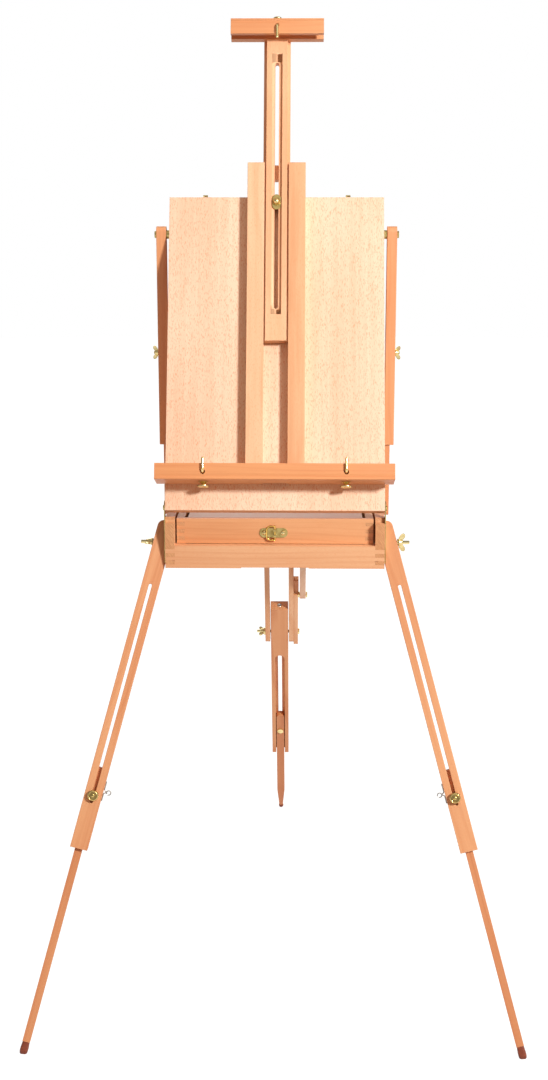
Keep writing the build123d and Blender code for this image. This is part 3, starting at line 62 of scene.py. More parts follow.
# Metres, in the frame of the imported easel: X right, Y back, Z up, floor at zero.
X = Vector((1, 0, 0))
Y = Vector((0, 1, 0))
Z = Vector((0, 0, 1))
BEHAVIOUR = frame["record"]["behaviour"]
JOINTS = {joint["name"]: joint for joint in BEHAVIOUR["joints"]}
MOUNTS = {mount["name"]: mount for mount in frame["record"]["mounts"]}
BODY_OF = {node: body for body, nodes in BEHAVIOUR["bodies"].items() for node in nodes}
SIDES = ("right", "left")
OUTWARD = {"right": X, "left": -X}


def axis_of(joint):
    """A joint's axis as the record gives it."""
    return Vector(JOINTS[joint]["axis"]).normalized()


# Directions of the leaning pieces
LID_UP = axis_of("mast_slide")
LID_OUT = Vector(MOUNTS["canvas_back_rest"]["axis"]).normalized()
STRUT_UP = axis_of("strut_right_slide")
REAR_UP = axis_of("rear_leg_extend")
REAR_FRONT = axis_of("rear_clamp_wingnut_turn")
STAY_UP = (Vector(JOINTS["rear_fork_fold"]["pos_m"]) - Vector(JOINTS["rear_stay_fold"]["pos_m"])).normalized()
LEG_UP = {side: axis_of(f"front_leg_{side}_extend") for side in SIDES}
LEG_FRONT = {side: axis_of(f"front_leg_knob_{side}_turn") for side in SIDES}

# The photograph's camera
IMAGE_HEIGHT = 1080
FOCAL_PIXELS = 1500
SENSOR = 36.0
CAMERA_PLACE = (0.0438, -2.7773, 1.370)
CAMERA_DOWN = 12.4
CAMERA_LEFT = 1.05

# Studio: each light's direction and distance from the middle of the easel, its size, power and colour
EASEL_MIDDLE = Vector((0, 0, 0.95))
KEY_DIRECTION = Vector((0.56, -0.73, 0.45))
KEY_DISTANCE = 4.0
KEY_SIZE = 0.5
KEY_POWER = 150.0
KEY_COLOUR = (1.0, 0.965, 0.94)
FILL_DIRECTION = Vector((0.20, -0.95, 0.45))
FILL_DISTANCE = 4.5
FILL_SIZE = 2.2
FILL_POWER = 7.0
FILL_COLOUR = (1.0, 0.80, 0.66)
TOP_DIRECTION = Vector((0.10, -0.42, 1.0))
TOP_DISTANCE = 3.0
TOP_SIZE = 2.6
TOP_POWER = 14.0
TOP_COLOUR = (1.0, 0.86, 0.76)
BACK_DIRECTION = Vector((-0.25, 1.0, 0.75))
BACK_DISTANCE = 4.0
BACK_SIZE = 2.4
BACK_POWER = 44.0
BACK_COLOUR = (1.0, 0.95, 0.92)
BOUNCE_PLACE = Vector((0, 0.4, 0.002))
BOUNCE_SIZE = 4.0
BOUNCE_POWER = 20.0
BOUNCE_COLOUR = (1.0, 0.86, 0.78)

# The world as the wood and the brass see it, and the floor
WORLD_LIGHT = 0.25
WORLD_TINT = (1.0, 0.52, 0.34, 1)
WORLD_GLOSS = 0.34
FLOOR_RADIUS = 14.0
FLOOR_STEPS = 96
FLOOR_GLOW = 1.22
FLOOR_MIX = 0.85

# How far edges are eased, what counts as an edge, and how close corners are merged
EASED = 0.0007
EASED_JOINT = 0.0003
EASED_METAL = 0.00025
EDGE_ANGLE = math.radians(28)
FLAT_ANGLE = math.radians(1)
SHARP_ANGLE = math.radians(50)
EASE_STEPS = 2
MERGE = 0.000002
ROUND_STEPS = 48
SMALL_STEPS = 32

# What tells the solids of one node apart: a board's run, a lid rail's width and a canvas rail's width
LONG_BOARD = 0.3
LID_RAIL = 0.1
CANVAS_RAIL = 0.05

# Wing nuts: hub radius, hub length, ear radius, the ears' distance from the middle, and the bore
STRUT_NUT = (0.0055, 0.0055, 0.0034, 0.0072, 0.00255)
LEG_NUT = (0.0062, 0.0070, 0.0042, 0.0098, 0.00305)
KNEE_NUT = (0.0065, 0.0060, 0.0036, 0.0078, 0.00305)

# A wing nut's hub outside, as shares of its radius and length, and the rounding of its rim
HUB_OUTLINE = [(1.0, 0), (1.0, 0.22), (0.86, 0.32), (0.76, 1.0)]
HUB_EASE = 0.06

# A wing nut's ears: length for width, lean and thickness, then shares for the dish, the web and the rounding
EAR_LENGTH = 1.45
EAR_LEAN = math.radians(32)
EAR_THICKNESS = 0.0026
EAR_RIM = 0.30
EAR_DISH = 0.16
WEB_THICKNESS = 0.8
EAR_EASE = 0.2

# How the wings of the front legs' nuts stand
LEG_WINGS = {"right": Z, "left": Y}

# Bolts, threads and knurls
THIN_BOLT = 0.0025
BOLT_CAP = 0.0030
BOLT_CAP_RADIUS = 0.0050
BOLT_CAP_FACE = 0.0044
GAP = 0.0003
PITCH = 0.0010
THREAD_DEPTH = 0.0005
KNURLS = 60
KNURL_DEPTH = 0.965
RIM_SHARE = 0.97

# Front leg knobs: their size and the leg's depth on their bolt, then the underside as shares of the radius
# and heights, the rim as distances inward and heights or depths, and the dished face as shares and depths
KNOB_RADIUS = 0.0093
KNOB_HEIGHT = 0.0090
LEG_DEPTH = 0.0110
KNOB_UNDERSIDE = [(0.80, 0), (0.84, 0.0012)]
KNOB_LOWER_RIM = [(0.0005, 0.0018), (0, 0.0024)]
KNOB_UPPER_RIM = [(0, 0.0022), (0.0005, 0.0012)]
KNOB_FACE = [(0.88, 0.0004), (0.80, 0), (0.70, 0.0003), (0.62, 0.0016), (0.36, 0.0016), (0.32, 0.0006),
             (0.24, 0.0001), (0, 0)]

# Thumbscrews: disc radius, neck height and shank length, then the seat, the cone above it as radii and shares
# of the neck, the disc's underside as distances inward and up, its face inward and down, and its dish
LEDGE_THUMB = (0.00975, 0.0060, 0.0103)
HOLDER_THUMB = (0.0078, 0.0050, 0.0102)
THUMB_DISC = 0.0030
THUMB_TIP = 0.8
THUMB_SEAT = [(0.0078, 0), (0.0080, 0.0003), (0.0079, 0.0009)]
THUMB_CONE = [(0.0056, 0.35), (0.0038, 0.62), (0.0030, 0.90), (0.0031, 1.0)]
THUMB_UNDERSIDE = [(0.0008, 0), (0, 0.0006)]
THUMB_FACE = [(0, 0.0009), (0.0005, 0.0002), (0.0013, 0), (0.0024, 0.0005)]
THUMB_DISH = (0.0016, 0.0006)

# The mast clamp's domed nut, as radii and heights
CLAMP_NUT = [(0, 0), (0.0062, 0), (0.0062, 0.0010), (0.0057, 0.0016), (0.0054, 0.0036), (0.0053, 0.0050),
             (0.0047, 0.0067), (0.0036, 0.0080), (0.0020, 0.0087), (0, 0.0089)]

# Slotted screws: the dome, the slot's width and its floor as shares of the head, then radii and heights
SCREW_DOME = [(1.0, 0), (0.97, 0.30), (0.84, 0.62), (0.58, 0.87), (0.30, 0.98)]
SLOT_WIDTH = 0.26
SLOT_FLOOR = [(0.9, 0), (0.86, 0.35)]
STRAP_SCREW = (0.0033, 0.0008)
LID_PIVOT_SCREW = (0.0047, 0.0023)
LATCH_SCREW = (0.0040, 0.0024)
LEG_TOP_SCREW = (0.0046, 0.0014)

# Places of the screws: outer face of the straps and heights on it, and places across the latch plate
STRAP_FACE = 0.1865
STRAP_SCREWS = (0.7950, 0.8490)
LATCH_SCREWS = (-0.0180, 0.0134)
LATCH_PIN_OUT = 0.0042
LATCH_THICKNESS = 0.0015

# Hooks: wire, bend, their places up the lid and out of it, and the arm and rise of each
HOOK_WIRE = 0.0025
HOOK_BEND = 0.0050
HOOK_STEPS = 24
BEND_STEPS = 8
TIP_STEPS = 5
CLAMP_UP = 0.5304
HOLDER_HOOK_AT = (0.8343, 0.0170)
HOLDER_HOOK = (0.0343, 0.0248)
LEDGE_HOOK_AT = (0.0574, 0.0140)
LEDGE_HOOK_ACROSS = 0.1185
LEDGE_HOOK = (0.0373, 0.0241)

# Half the length of the handle's grip, and where it starts as a share of the handle's radius
GRIP_REACH = 0.0325
GRIP_START = 0.55

# Inner and outer face of the struts' strips
STRIP_ACROSS = (0.1903, 0.2008)

# The rear leg's ball
REAR_BALL = 0.0054
BALL_RINGS = 20

# Rubber boots: what counts as the rim at their top, how square they are, and radii and heights as shares
BOOT_RIM = 0.001
BOOT_SQUARE = 4
BOOT_OUTLINE = [(0, 0), (0.84, 0), (0.87, -0.06), (0.92, -0.25), (0.98, -0.45), (1.0, -0.62), (0.96, -0.77),
                (0.84, -0.89), (0.56, -0.97), (0, -1.0)]


def seen(red, green, blue):
    """A colour as the eye sees it, from 0 to 1, turned into the linear colour that Blender wants."""
    return tuple(((value + 0.055) / 1.055) ** 2.4 for value in (red, green, blue)) + (1.0,)


# Wood tones: pale and deep grain
LID_TONES = (seen(0.99, 0.89, 0.78), seen(0.95, 0.80, 0.67))
RAIL_TONES = (seen(0.97, 0.81, 0.65), seen(0.91, 0.70, 0.52))
RIGHT_RAIL_TONES = (seen(0.94, 0.75, 0.57), seen(0.87, 0.64, 0.45))
LEG_TONES = (seen(0.91, 0.69, 0.50), seen(0.84, 0.57, 0.38))
BOX_TONES = (seen(0.93, 0.74, 0.56), seen(0.86, 0.62, 0.44))
MAST_TONES = (seen(0.97, 0.79, 0.62), seen(0.92, 0.70, 0.52))
STRUT_TONES = (seen(0.93, 0.68, 0.48), seen(0.86, 0.58, 0.39))
INNER_LEG_TONES = (seen(0.87, 0.62, 0.43), seen(0.80, 0.52, 0.34))
LEDGE_TONES = (seen(0.91, 0.65, 0.43), seen(0.84, 0.53, 0.32))
HOLDER_TONES = (seen(0.93, 0.71, 0.51), seen(0.86, 0.59, 0.39))
DRAWER_TONES = (seen(0.92, 0.70, 0.50), seen(0.85, 0.59, 0.39))
# The palette's pale tones are partly its own and partly painted light: whiter than the wood is, to brighten
# it in the lid's shade
PALETTE_TONES_WITH_PAINTED_LIGHT = (seen(1.0, 0.97, 0.95), seen(0.99, 0.92, 0.89))
HIDDEN_TONES = (seen(0.90, 0.74, 0.58), seen(0.82, 0.62, 0.46))
FLECK_TONE = seen(0.89, 0.61, 0.41)
END_TONE = seen(0.85, 0.64, 0.43)
END_LINE = seen(0.72, 0.49, 0.31)

# Beech, for each metre along the grain and across it: how often each part of the pattern repeats
WANDER = (2.2, 14, 14)
BANDS = (0.9, 42, 42)
STREAKS = (5, 260, 260)
FIBRES = (40, 1500, 1500)
FLECKS = (210, 950, 950)
CLOUDS = (3, 5, 5)
END_DOTS = (60, 1300, 1300)
END_BANDS = (10, 90, 900)
END_SLANT = math.radians(35)

# Its growth rings: radians of wave in a metre, how they wander and taper, and how far off their heart lies
RING_DENSITY = 780.0
RING_WANDER = 0.030
RING_TAPER = 0.035
HEART = (0.045, -0.03)

# Metal, rubber, leather and the dirt and painted shade in screw slots: how often their patterns repeat in a
# metre
TARNISH = (90, 90, 90)
SPECKS = (900, 900, 900)
SCRATCHES = (120, 5200, 5200)
SCRATCHED_ALONG = Vector((1, 0.6, 0.35))
GRIT = (1400, 1400, 1400)
SCUFFS = (120, 120, 300)
PEBBLES = 900.0
WEAR = (60, 60, 60)
SLOT_DIRT_AND_SHADE = (800, 800, 800)

# Tones of metal, rubber, leather and a screw's slot, whose near-black tones are painted shade: light and dark
BRASS_TONES = (seen(0.93, 0.85, 0.62), seen(0.80, 0.69, 0.44))
GOLD_TONES = (seen(0.93, 0.77, 0.42), seen(0.78, 0.60, 0.28))
OLIVE_TONES = (seen(0.76, 0.68, 0.44), seen(0.60, 0.50, 0.28))
STEEL_TONES = (seen(0.80, 0.80, 0.78), seen(0.62, 0.61, 0.58))
RUBBER_TONES = (seen(0.66, 0.36, 0.24), seen(0.48, 0.22, 0.14))
LEATHER_TONES = (seen(0.42, 0.24, 0.14), seen(0.28, 0.15, 0.09))
SLOT_SHADE_TONES = (seen(0.25, 0.18, 0.12), seen(0.09, 0.06, 0.05))


class Value:
    """A number that varies over a surface; arithmetic on it adds Math nodes."""

    def __init__(self, finish, socket):
        self.finish = finish
        self.socket = socket

    def math(self, operation, *numbers):
        """Adds a Math node."""
        node = self.finish.add("ShaderNodeMath", {"operation": operation}, dict(enumerate(numbers)))
        return Value(self.finish, node.outputs[0])

    def __add__(self, other):
        return self.math("ADD", self, other)

    __radd__ = __add__

    def __sub__(self, other):
        return self.math("SUBTRACT", self, other)

    def __rsub__(self, other):
        return self.math("SUBTRACT", other, self)

    def __mul__(self, other):
        return self.math("MULTIPLY", self, other)

    __rmul__ = __mul__

    def size(self):
        """The number without its sign."""
        return self.math("ABSOLUTE", self)

    def wave(self):
        """The sine of the number."""
        return self.math("SINE", self)

    def between(self, low, high):
        """Smoothly from 0 at low to 1 at high."""
        settings = {"interpolation_type": "SMOOTHSTEP"}
        inputs = {"Value": self, "From Min": low, "From Max": high}
        return Value(self.finish, self.finish.add("ShaderNodeMapRange", settings, inputs).outputs["Result"])


class Finish:
    """A material while it is put together."""

    def __init__(self, name):
        self.material = bpy.data.materials.new(name)
        self.material.use_nodes = True
        self.nodes = self.material.node_tree.nodes
        self.links = self.material.node_tree.links
        self.nodes.clear()
        coordinates = self.add("ShaderNodeTexCoord").outputs
        self.place = Value(self, coordinates["Object"])
        self.facing = Value(self, coordinates["Normal"])

    def add(self, kind, settings=None, inputs=None):
        """Adds a node: its settings first, then the values or links of its sockets."""
        node = self.nodes.new(kind)
        for name, setting in (settings or {}).items():
            setattr(node, name, setting)
        for name, value in (inputs or {}).items():
            if isinstance(value, Value):
                self.links.new(value.socket, node.inputs[name])
            else:
                node.inputs[name].default_value = value
        return node

    def turned(self, along):
        """Coordinates turned so that their X runs along a direction."""
        along = along.normalized()
        helper = Y if abs(along.x) > 0.9 else X
        across = along.cross(helper).normalized()
        angles = Matrix((along, across, along.cross(across))).to_euler()
        node = self.add("ShaderNodeMapping", None, {"Vector": self.place, "Rotation": angles})
        return Value(self, node.outputs[0])

    def noise(self, at, scale, detail=2.0, shift=0.0):
        """Noise that may be stretched: its scale is a number for each direction."""
        inputs = {"Vector": at, "Scale": scale, "Location": (shift, shift * 0.7, shift * 1.3)}
        stretched = Value(self, self.add("ShaderNodeMapping", None, inputs).outputs[0])
        inputs = {"Vector": stretched, "Scale": 1.0, "Detail": detail}
        return Value(self, self.add("ShaderNodeTexNoise", None, inputs).outputs["Fac"])

    def vector(self, operation, *inputs, output=0):
        """Arithmetic on vectors."""
        node = self.add("ShaderNodeVectorMath", {"operation": operation}, dict(enumerate(inputs)))
        return Value(self, node.outputs[output])

    def mixed(self, amount, first, second):
        """One colour mixed into another."""
        node = self.add("ShaderNodeMix", {"data_type": "RGBA"}, {0: amount, 6: first, 7: second})
        return Value(self, node.outputs[2])

    def bumped(self, height, depth, strength):
        """Fine relief from a height."""
        inputs = {"Height": height, "Distance": depth, "Strength": strength}
        return Value(self, self.add("ShaderNodeBump", None, inputs).outputs[0])

    def made(self, **sockets):
        """Ends the material with a Principled shader and gives it back."""
        inputs = {name.replace("_", " ").title(): value for name, value in sockets.items()}
        shader = self.add("ShaderNodeBsdfPrincipled", None, inputs)
        output = self.add("ShaderNodeOutputMaterial")
        self.links.new(shader.outputs[0], output.inputs["Surface"])
        return self.material


def beech(name, along, tones, seed, flecks, lines):
    """Oiled beech: rings and streaks along the grain, short reddish flecks, fine pores and darker ends."""
    finish = Finish(name)
    grain = finish.turned(along)
    wander = finish.noise(grain, WANDER, 2.0, seed)
    heart = finish.vector("ADD", grain, (seed * 0.31 + 1.0, HEART[0] + 0.004 * math.sin(seed), HEART[1]))
    radius = finish.vector("LENGTH", finish.vector("MULTIPLY", heart, (RING_TAPER, 1, 1)), output="Value")
    rings = ((radius + wander * RING_WANDER) * RING_DENSITY).wave().between(0.35, 1.0)
    bands = finish.noise(grain, BANDS, 2.0, seed + 3)
    streaks = finish.noise(grain, STREAKS, 3.0, seed + 5)
    fibres = finish.noise(grain, FIBRES, 2.0, seed + 7)
    fleck = finish.noise(grain, FLECKS, 1.0, seed + 11).between(0.57, 0.65)
    clouds = finish.noise(grain, CLOUDS, 1.0, seed + 13).between(0.3, 0.7)
    depth = bands * 0.55 + streaks * 0.35 + clouds * 0.25 + fibres * 0.18 + rings * (0.22 * lines)
    colour = finish.mixed(depth.between(0.42, 1.0), tones[0], tones[1])
    colour = finish.mixed(fleck * (0.30 * flecks), colour, FLECK_TONE)
    ends = finish.vector("DOT_PRODUCT", finish.facing, tuple(along.normalized()), output="Value")
    colour = finish.mixed(ends_mask(ends.size()), colour, end_grain(finish, grain, seed))
    bump = finish.bumped(fibres * 0.5 + fleck * -0.4 + streaks * 0.3, 0.0002, 0.5)
    return finish.made(base_color=colour, roughness=0.40 + fibres * 0.16, normal=bump,
                       coat_weight=0.12, coat_roughness=0.3)


def ends_mask(ends):
    """Where a face cuts across the grain."""
    return ends.between(0.72, 0.92) * 0.7


def end_grain(finish, grain, seed):
    """Darker end grain with close dots."""
    dots = finish.noise(grain, END_DOTS, 2.0, seed + 17)
    slanted = finish.add("ShaderNodeMapping", None, {"Vector": grain, "Rotation": (END_SLANT, 0, 0)})
    bands = finish.noise(Value(finish, slanted.outputs[0]), END_BANDS, 1.0, seed + 19)
    return finish.mixed((dots * 0.4 + bands * 0.7).between(0.42, 0.72), END_TONE, END_LINE)


def metal(name, tones, polish, seed=0.0):
    """Metal with soft tarnish clouds, hairline scratches and a polish."""
    finish = Finish(name)
    clouds = finish.noise(finish.place, TARNISH, 3.0, seed)
    specks = finish.noise(finish.place, SPECKS, 2.0, seed + 2)
    scratches = finish.noise(finish.turned(SCRATCHED_ALONG), SCRATCHES, 1.0, seed + 4)
    tarnish = (clouds * 0.85 + specks * 0.15).between(0.40, 0.70)
    colour = finish.mixed(tarnish, tones[0], tones[1])
    bump = finish.bumped(scratches, 0.00002, 0.35)
    return finish.made(base_color=colour, roughness=polish + tarnish * 0.14 + scratches * 0.06,
                       metallic=1.0, normal=bump)


def rubber(name):
    """Reddish brown rubber with a soft gloss and scuffs."""
    finish = Finish(name)
    grit = finish.noise(finish.place, GRIT, 3.0)
    scuffs = finish.noise(finish.place, SCUFFS, 3.0, 4.0).between(0.5, 0.72)
    colour = finish.mixed(scuffs * 0.5 + grit * 0.3, RUBBER_TONES[1], RUBBER_TONES[0])
    bump = finish.bumped(grit, 0.0001, 0.4)
    return finish.made(base_color=colour, roughness=0.32 + grit * 0.2, normal=bump)


def leather(name):
    """Brown leather grip with fine pebbling."""
    finish = Finish(name)
    cells = finish.add("ShaderNodeTexVoronoi", None, {"Vector": finish.place, "Scale": PEBBLES})
    pebble = Value(finish, cells.outputs["Distance"])
    worn = finish.noise(finish.place, WEAR, 2.0)
    colour = finish.mixed(worn.between(0.35, 0.7), LEATHER_TONES[1], LEATHER_TONES[0])
    bump = finish.bumped(pebble, 0.0002, 0.6)
    return finish.made(base_color=colour, roughness=0.5 + worn * 0.2, normal=bump)


def slot_painted_shade(name):
    """Near-black painted shade, mottled with a little dirt, on the bottom of a screw's slot."""
    finish = Finish(name)
    dirt_and_shade = finish.noise(finish.place, SLOT_DIRT_AND_SHADE, 2.0)
    colour = finish.mixed(dirt_and_shade * 0.5, SLOT_SHADE_TONES[1], SLOT_SHADE_TONES[0])
    return finish.made(base_color=colour, roughness=0.6 + dirt_and_shade * 0.2)


BRASS = metal("brass", BRASS_TONES, 0.20)
BRASS_GOLD = metal("brass_gold", GOLD_TONES, 0.16, 2.0)
# Olive brass: real wear on the straps, plates and screws, and painted shade on the strut bolts
BRASS_WORN_AND_SHADE = metal("brass_worn_and_shade", OLIVE_TONES, 0.30, 3.0)
BRASS_KNOB = metal("brass_knob", (BRASS_TONES[1], OLIVE_TONES[0]), 0.18, 5.0)
STEEL = metal("steel", STEEL_TONES, 0.24, 6.0)
RUBBER = rubber("foot_rubber")
LEATHER = leather("handle_leather")
# Painted shade for the floors of screw slots, mottled with dirt
SLOT = slot_painted_shade("slot_painted_shade")


def piece_from(name, shape, finish, body, stands_for=()):
    """Ends a bmesh as a smooth piece on a body, which may stand for CAD nodes."""
    mesh = bpy.data.meshes.new(name)
    shape.to_mesh(mesh)
    shape.free()
    for material in finish if isinstance(finish, tuple) else (finish,):
        mesh.materials.append(material)
    mesh.shade_smooth()
    mesh.set_sharp_from_angle(angle=SHARP_ANGLE)
    piece = bpy.data.objects.new(name, mesh)
    bpy.context.collection.objects.link(piece)
    even = piece.modifiers.new("even", "WEIGHTED_NORMAL")
    even.keep_sharp = True
    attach(piece, body)
    if stands_for:
        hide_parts(*stands_for)


def stand_in(node, kind, shape, finish):
    """A new shape for a CAD node, on the node's own body."""
    piece_from(f"{node}_{kind}", shape, finish, BODY_OF[node], (node,))


def shells(shape):
    """The closed shells of a bmesh, as lists of faces."""
    left = set(shape.faces)
    found = []
    while left:
        shell = [left.pop()]
        for face in shell:
            for edge in face.edges:
                if edge.is_manifold:
                    near = [other for other in edge.link_faces if other in left]
                    left.difference_update(near)
                    shell.extend(near)
        found.append(shell)
    return found


def extent(shell):
    """Size and middle of a shell."""
    corners = [vertex.co for face in shell for vertex in face.verts]
    low = Vector([min(at[axis] for at in corners) for axis in range(3)])
    high = Vector([max(at[axis] for at in corners) for axis in range(3)])
    return high - low, (low + high) / 2


def longer(along, length):
    """Picks the solids that are longer than a length along a direction."""
    return lambda size, middle: size.dot(along) > length


def shorter(along, length):
    """Picks the solids that are shorter than a length along a direction."""
    return lambda size, middle: size.dot(along) < length


def canvas_rail(side):
    """Picks the canvas rail on one side of the mast: 1 for the right, -1 for the left."""
    return lambda size, middle: size.x < CANVAS_RAIL and middle.x * side > 0


def merged_copy(node, keep, solid):
    """A bmesh of a CAD node, or of its kept faces or solids, with its seams merged."""
    shape = bmesh.new()
    shape.from_mesh(frame["nodes"][node].data)
    bmesh.ops.remove_doubles(shape, verts=shape.verts, dist=MERGE)
    left_out = []
    if keep:
        left_out = [face for face in shape.faces if not keep(face.calc_center_median())]
    if solid:
        left_out = [face for shell in shells(shape) if not solid(*extent(shell)) for face in shell]
    if left_out:
        bmesh.ops.delete(shape, geom=left_out, context="FACES")
        open_edges = [edge for edge in shape.edges if edge.is_boundary]
        bmesh.ops.holes_fill(shape, edges=open_edges, sides=0)
    bmesh.ops.dissolve_limit(shape, angle_limit=FLAT_ANGLE, verts=shape.verts, edges=shape.edges)
    return shape


def ease(shape, offset):
    """Rounds the sharp outer edges of a bmesh."""
    edges = [edge for edge in shape.edges
             if edge.is_manifold and edge.is_convex and edge.calc_face_angle() > EDGE_ANGLE]
    bmesh.ops.bevel(shape, geom=edges, offset=offset, offset_type="OFFSET", segments=EASE_STEPS,
                    profile=0.5, affect="EDGES", clamp_overlap=False, material=-1)
    return shape


def dressed(node, finish, eased=0.0, keep=None, solid=None, name=None, slot=None):
    """A CAD node's copy with whole flat faces and eased edges, in a finish."""
    shape = merged_copy(node, keep, solid)
    if eased:
        ease(shape, eased)
    piece_from(name or f"{node}_dressed", shape, finish, BODY_OF[node], (node,))


def turned(outline, closed=False, steps=ROUND_STEPS):
    """Turns an outline of radii and heights about Z; a closed one makes a ring."""
    shape = bmesh.new()
    corners = [shape.verts.new((radius, 0, height)) for radius, height in outline]
    ends = corners[1:] + corners[:1] if closed else corners[1:]
    edges = [shape.edges.new(pair) for pair in zip(corners, ends)]
    bmesh.ops.spin(shape, geom=corners + edges, cent=(0, 0, 0), axis=(0, 0, 1), angle=math.tau,
                   steps=steps, use_merge=True)
    bmesh.ops.remove_doubles(shape, verts=shape.verts, dist=MERGE)
    bmesh.ops.recalc_face_normals(shape, faces=shape.faces)
    return shape


def joined(*shapes):
    """One bmesh from several."""
    whole = shapes[0]
    for shape in shapes[1:]:
        mesh = bpy.data.meshes.new("joined")
        shape.to_mesh(mesh)
        shape.free()
        whole.from_mesh(mesh)
        bpy.data.meshes.remove(mesh)
    return whole


def stood(shape, place, out, across):
    """Moves a shape drawn around Z to a place, its Z along out and its X along across."""
    out = out.normalized()
    across = (across - out * across.dot(out)).normalized()
    turn = Matrix((across, out.cross(across), out)).transposed().to_4x4()
    bmesh.ops.transform(shape, matrix=Matrix.Translation(place) @ turn, verts=shape.verts)
    return shape


def knurled(shape, radius):
    """Presses teeth into the rim of a turned shape that has two steps for each tooth."""
    for vertex in shape.verts:
        if math.hypot(vertex.co.x, vertex.co.y) > radius * RIM_SHARE:
            step = round(math.atan2(vertex.co.y, vertex.co.x) / math.tau * KNURLS * 2)
            if step % 2:
                vertex.co.x *= KNURL_DEPTH
                vertex.co.y *= KNURL_DEPTH
    return shape


def reaches(node, joint, out):
    """How far out from its joint's place each corner of a node lies."""
    middle = Vector(JOINTS[joint]["pos_m"])
    return [(vertex.co - middle).dot(out) for vertex in frame["nodes"][node].data.vertices]


def seat_of(node, joint, out):
    """Where the inner end of a node lies on its joint's axis, seen along a direction."""
    return Vector(JOINTS[joint]["pos_m"]) + out * min(reaches(node, joint, out))


def tip_of(node, joint, out, below=0.0):
    """Where the outer end of a node lies on its joint's axis, or a point below that end."""
    return Vector(JOINTS[joint]["pos_m"]) + out * (max(reaches(node, joint, out)) - below)


def thread(low, high, radius):
    """Outline of a threaded stretch, a ridge for each pitch."""
    outline = []
    for turn in range(int((high - low) / PITCH)):
        start = low + turn * PITCH
        outline += [(radius, start), (radius - THREAD_DEPTH, start + PITCH / 2)]
    return outline + [(radius - THREAD_DEPTH, high)]


def ear(radius, out, height, side):
    """One rounded ear of a wing nut, dished on both faces."""
    shape = bmesh.new()
    bmesh.ops.create_circle(shape, cap_ends=True, segments=SMALL_STEPS, radius=radius)
    grown = bmesh.ops.extrude_face_region(shape, geom=shape.faces[:])
    raised = [vertex for vertex in grown["geom"] if isinstance(vertex, bmesh.types.BMVert)]
    bmesh.ops.translate(shape, verts=raised, vec=(0, 0, EAR_THICKNESS))
    bmesh.ops.recalc_face_normals(shape, faces=shape.faces)
    caps = [face for face in shape.faces if len(face.verts) > 4]
    bmesh.ops.inset_individual(shape, faces=caps, thickness=radius * EAR_RIM, depth=-EAR_THICKNESS * EAR_DISH)
    ease(shape, EAR_THICKNESS * EAR_EASE)
    upright = Matrix.Rotation(math.radians(90), 4, "Y") @ Matrix.Translation((0, 0, -EAR_THICKNESS / 2))
    leaned = Matrix.Rotation(side * EAR_LEAN, 4, "X") @ Matrix.Scale(EAR_LENGTH, 4, Y)
    place = Matrix.Translation((0, side * out, height))
    bmesh.ops.transform(shape, matrix=place @ leaned @ upright, verts=shape.verts)
    return shape


def web(out, height, side):
    """The flat neck between a wing nut's hub and an ear."""
    shape = bmesh.new()
    bmesh.ops.create_cube(shape, size=1.0)
    bmesh.ops.scale(shape, vec=(EAR_THICKNESS * WEB_THICKNESS, out, height), verts=shape.verts)
    bmesh.ops.translate(shape, vec=(0, side * out / 2, height / 2 + PITCH), verts=shape.verts)
    return ease(shape, EAR_THICKNESS * EAR_EASE)


def wing_nut(node, joint, sizes, out, wings):
    """A wing nut: tapered hub with a rounded rim, two dished ears and their webs."""
    hub, length, radius, away, bore = sizes
    outside = [(hub * share, length * height) for share, height in HUB_OUTLINE]
    shape = ease(turned([(bore, 0), *outside, (bore, length)], closed=True), length * HUB_EASE)
    for side in (-1, 1):
        shape = joined(shape, ear(radius, away, length, side), web(away, length, side))
    stood(shape, seat_of(node, joint, out), out, wings.cross(out))
    stand_in(node, "cast", shape, BRASS)


def leg_knob(side):
    """Round knob of a front leg in one piece with its bolt: knurled rim, ring-shaped dish and boss."""
    node = f"front_leg_knob_{side}"
    out = LEG_FRONT[side]
    face = LEG_DEPTH + GAP
    top = face + KNOB_HEIGHT
    rim = KNOB_RADIUS
    bottom = -LEG_DEPTH - BOLT_CAP
    cap = [(0, bottom), (BOLT_CAP_FACE, bottom), (BOLT_CAP_RADIUS, bottom + BOLT_CAP / 4)]
    bolt = [(BOLT_CAP_RADIUS, -face), (THIN_BOLT, -face), (THIN_BOLT, face)]
    underside = [(rim * share, face + height) for share, height in KNOB_UNDERSIDE]
    lower_rim = [(rim - inward, face + height) for inward, height in KNOB_LOWER_RIM]
    upper_rim = [(rim - inward, top - depth) for inward, depth in KNOB_UPPER_RIM]
    dish = [(rim * share, top - depth) for share, depth in KNOB_FACE]
    outline = [*cap, *bolt, *underside, *lower_rim, *upper_rim, *dish]
    shape = knurled(turned(outline, steps=2 * KNURLS), rim)
    stood(shape, tip_of(node, f"{node}_turn", out, top), out, X)
    stand_in(node, "turned", shape, BRASS_KNOB)


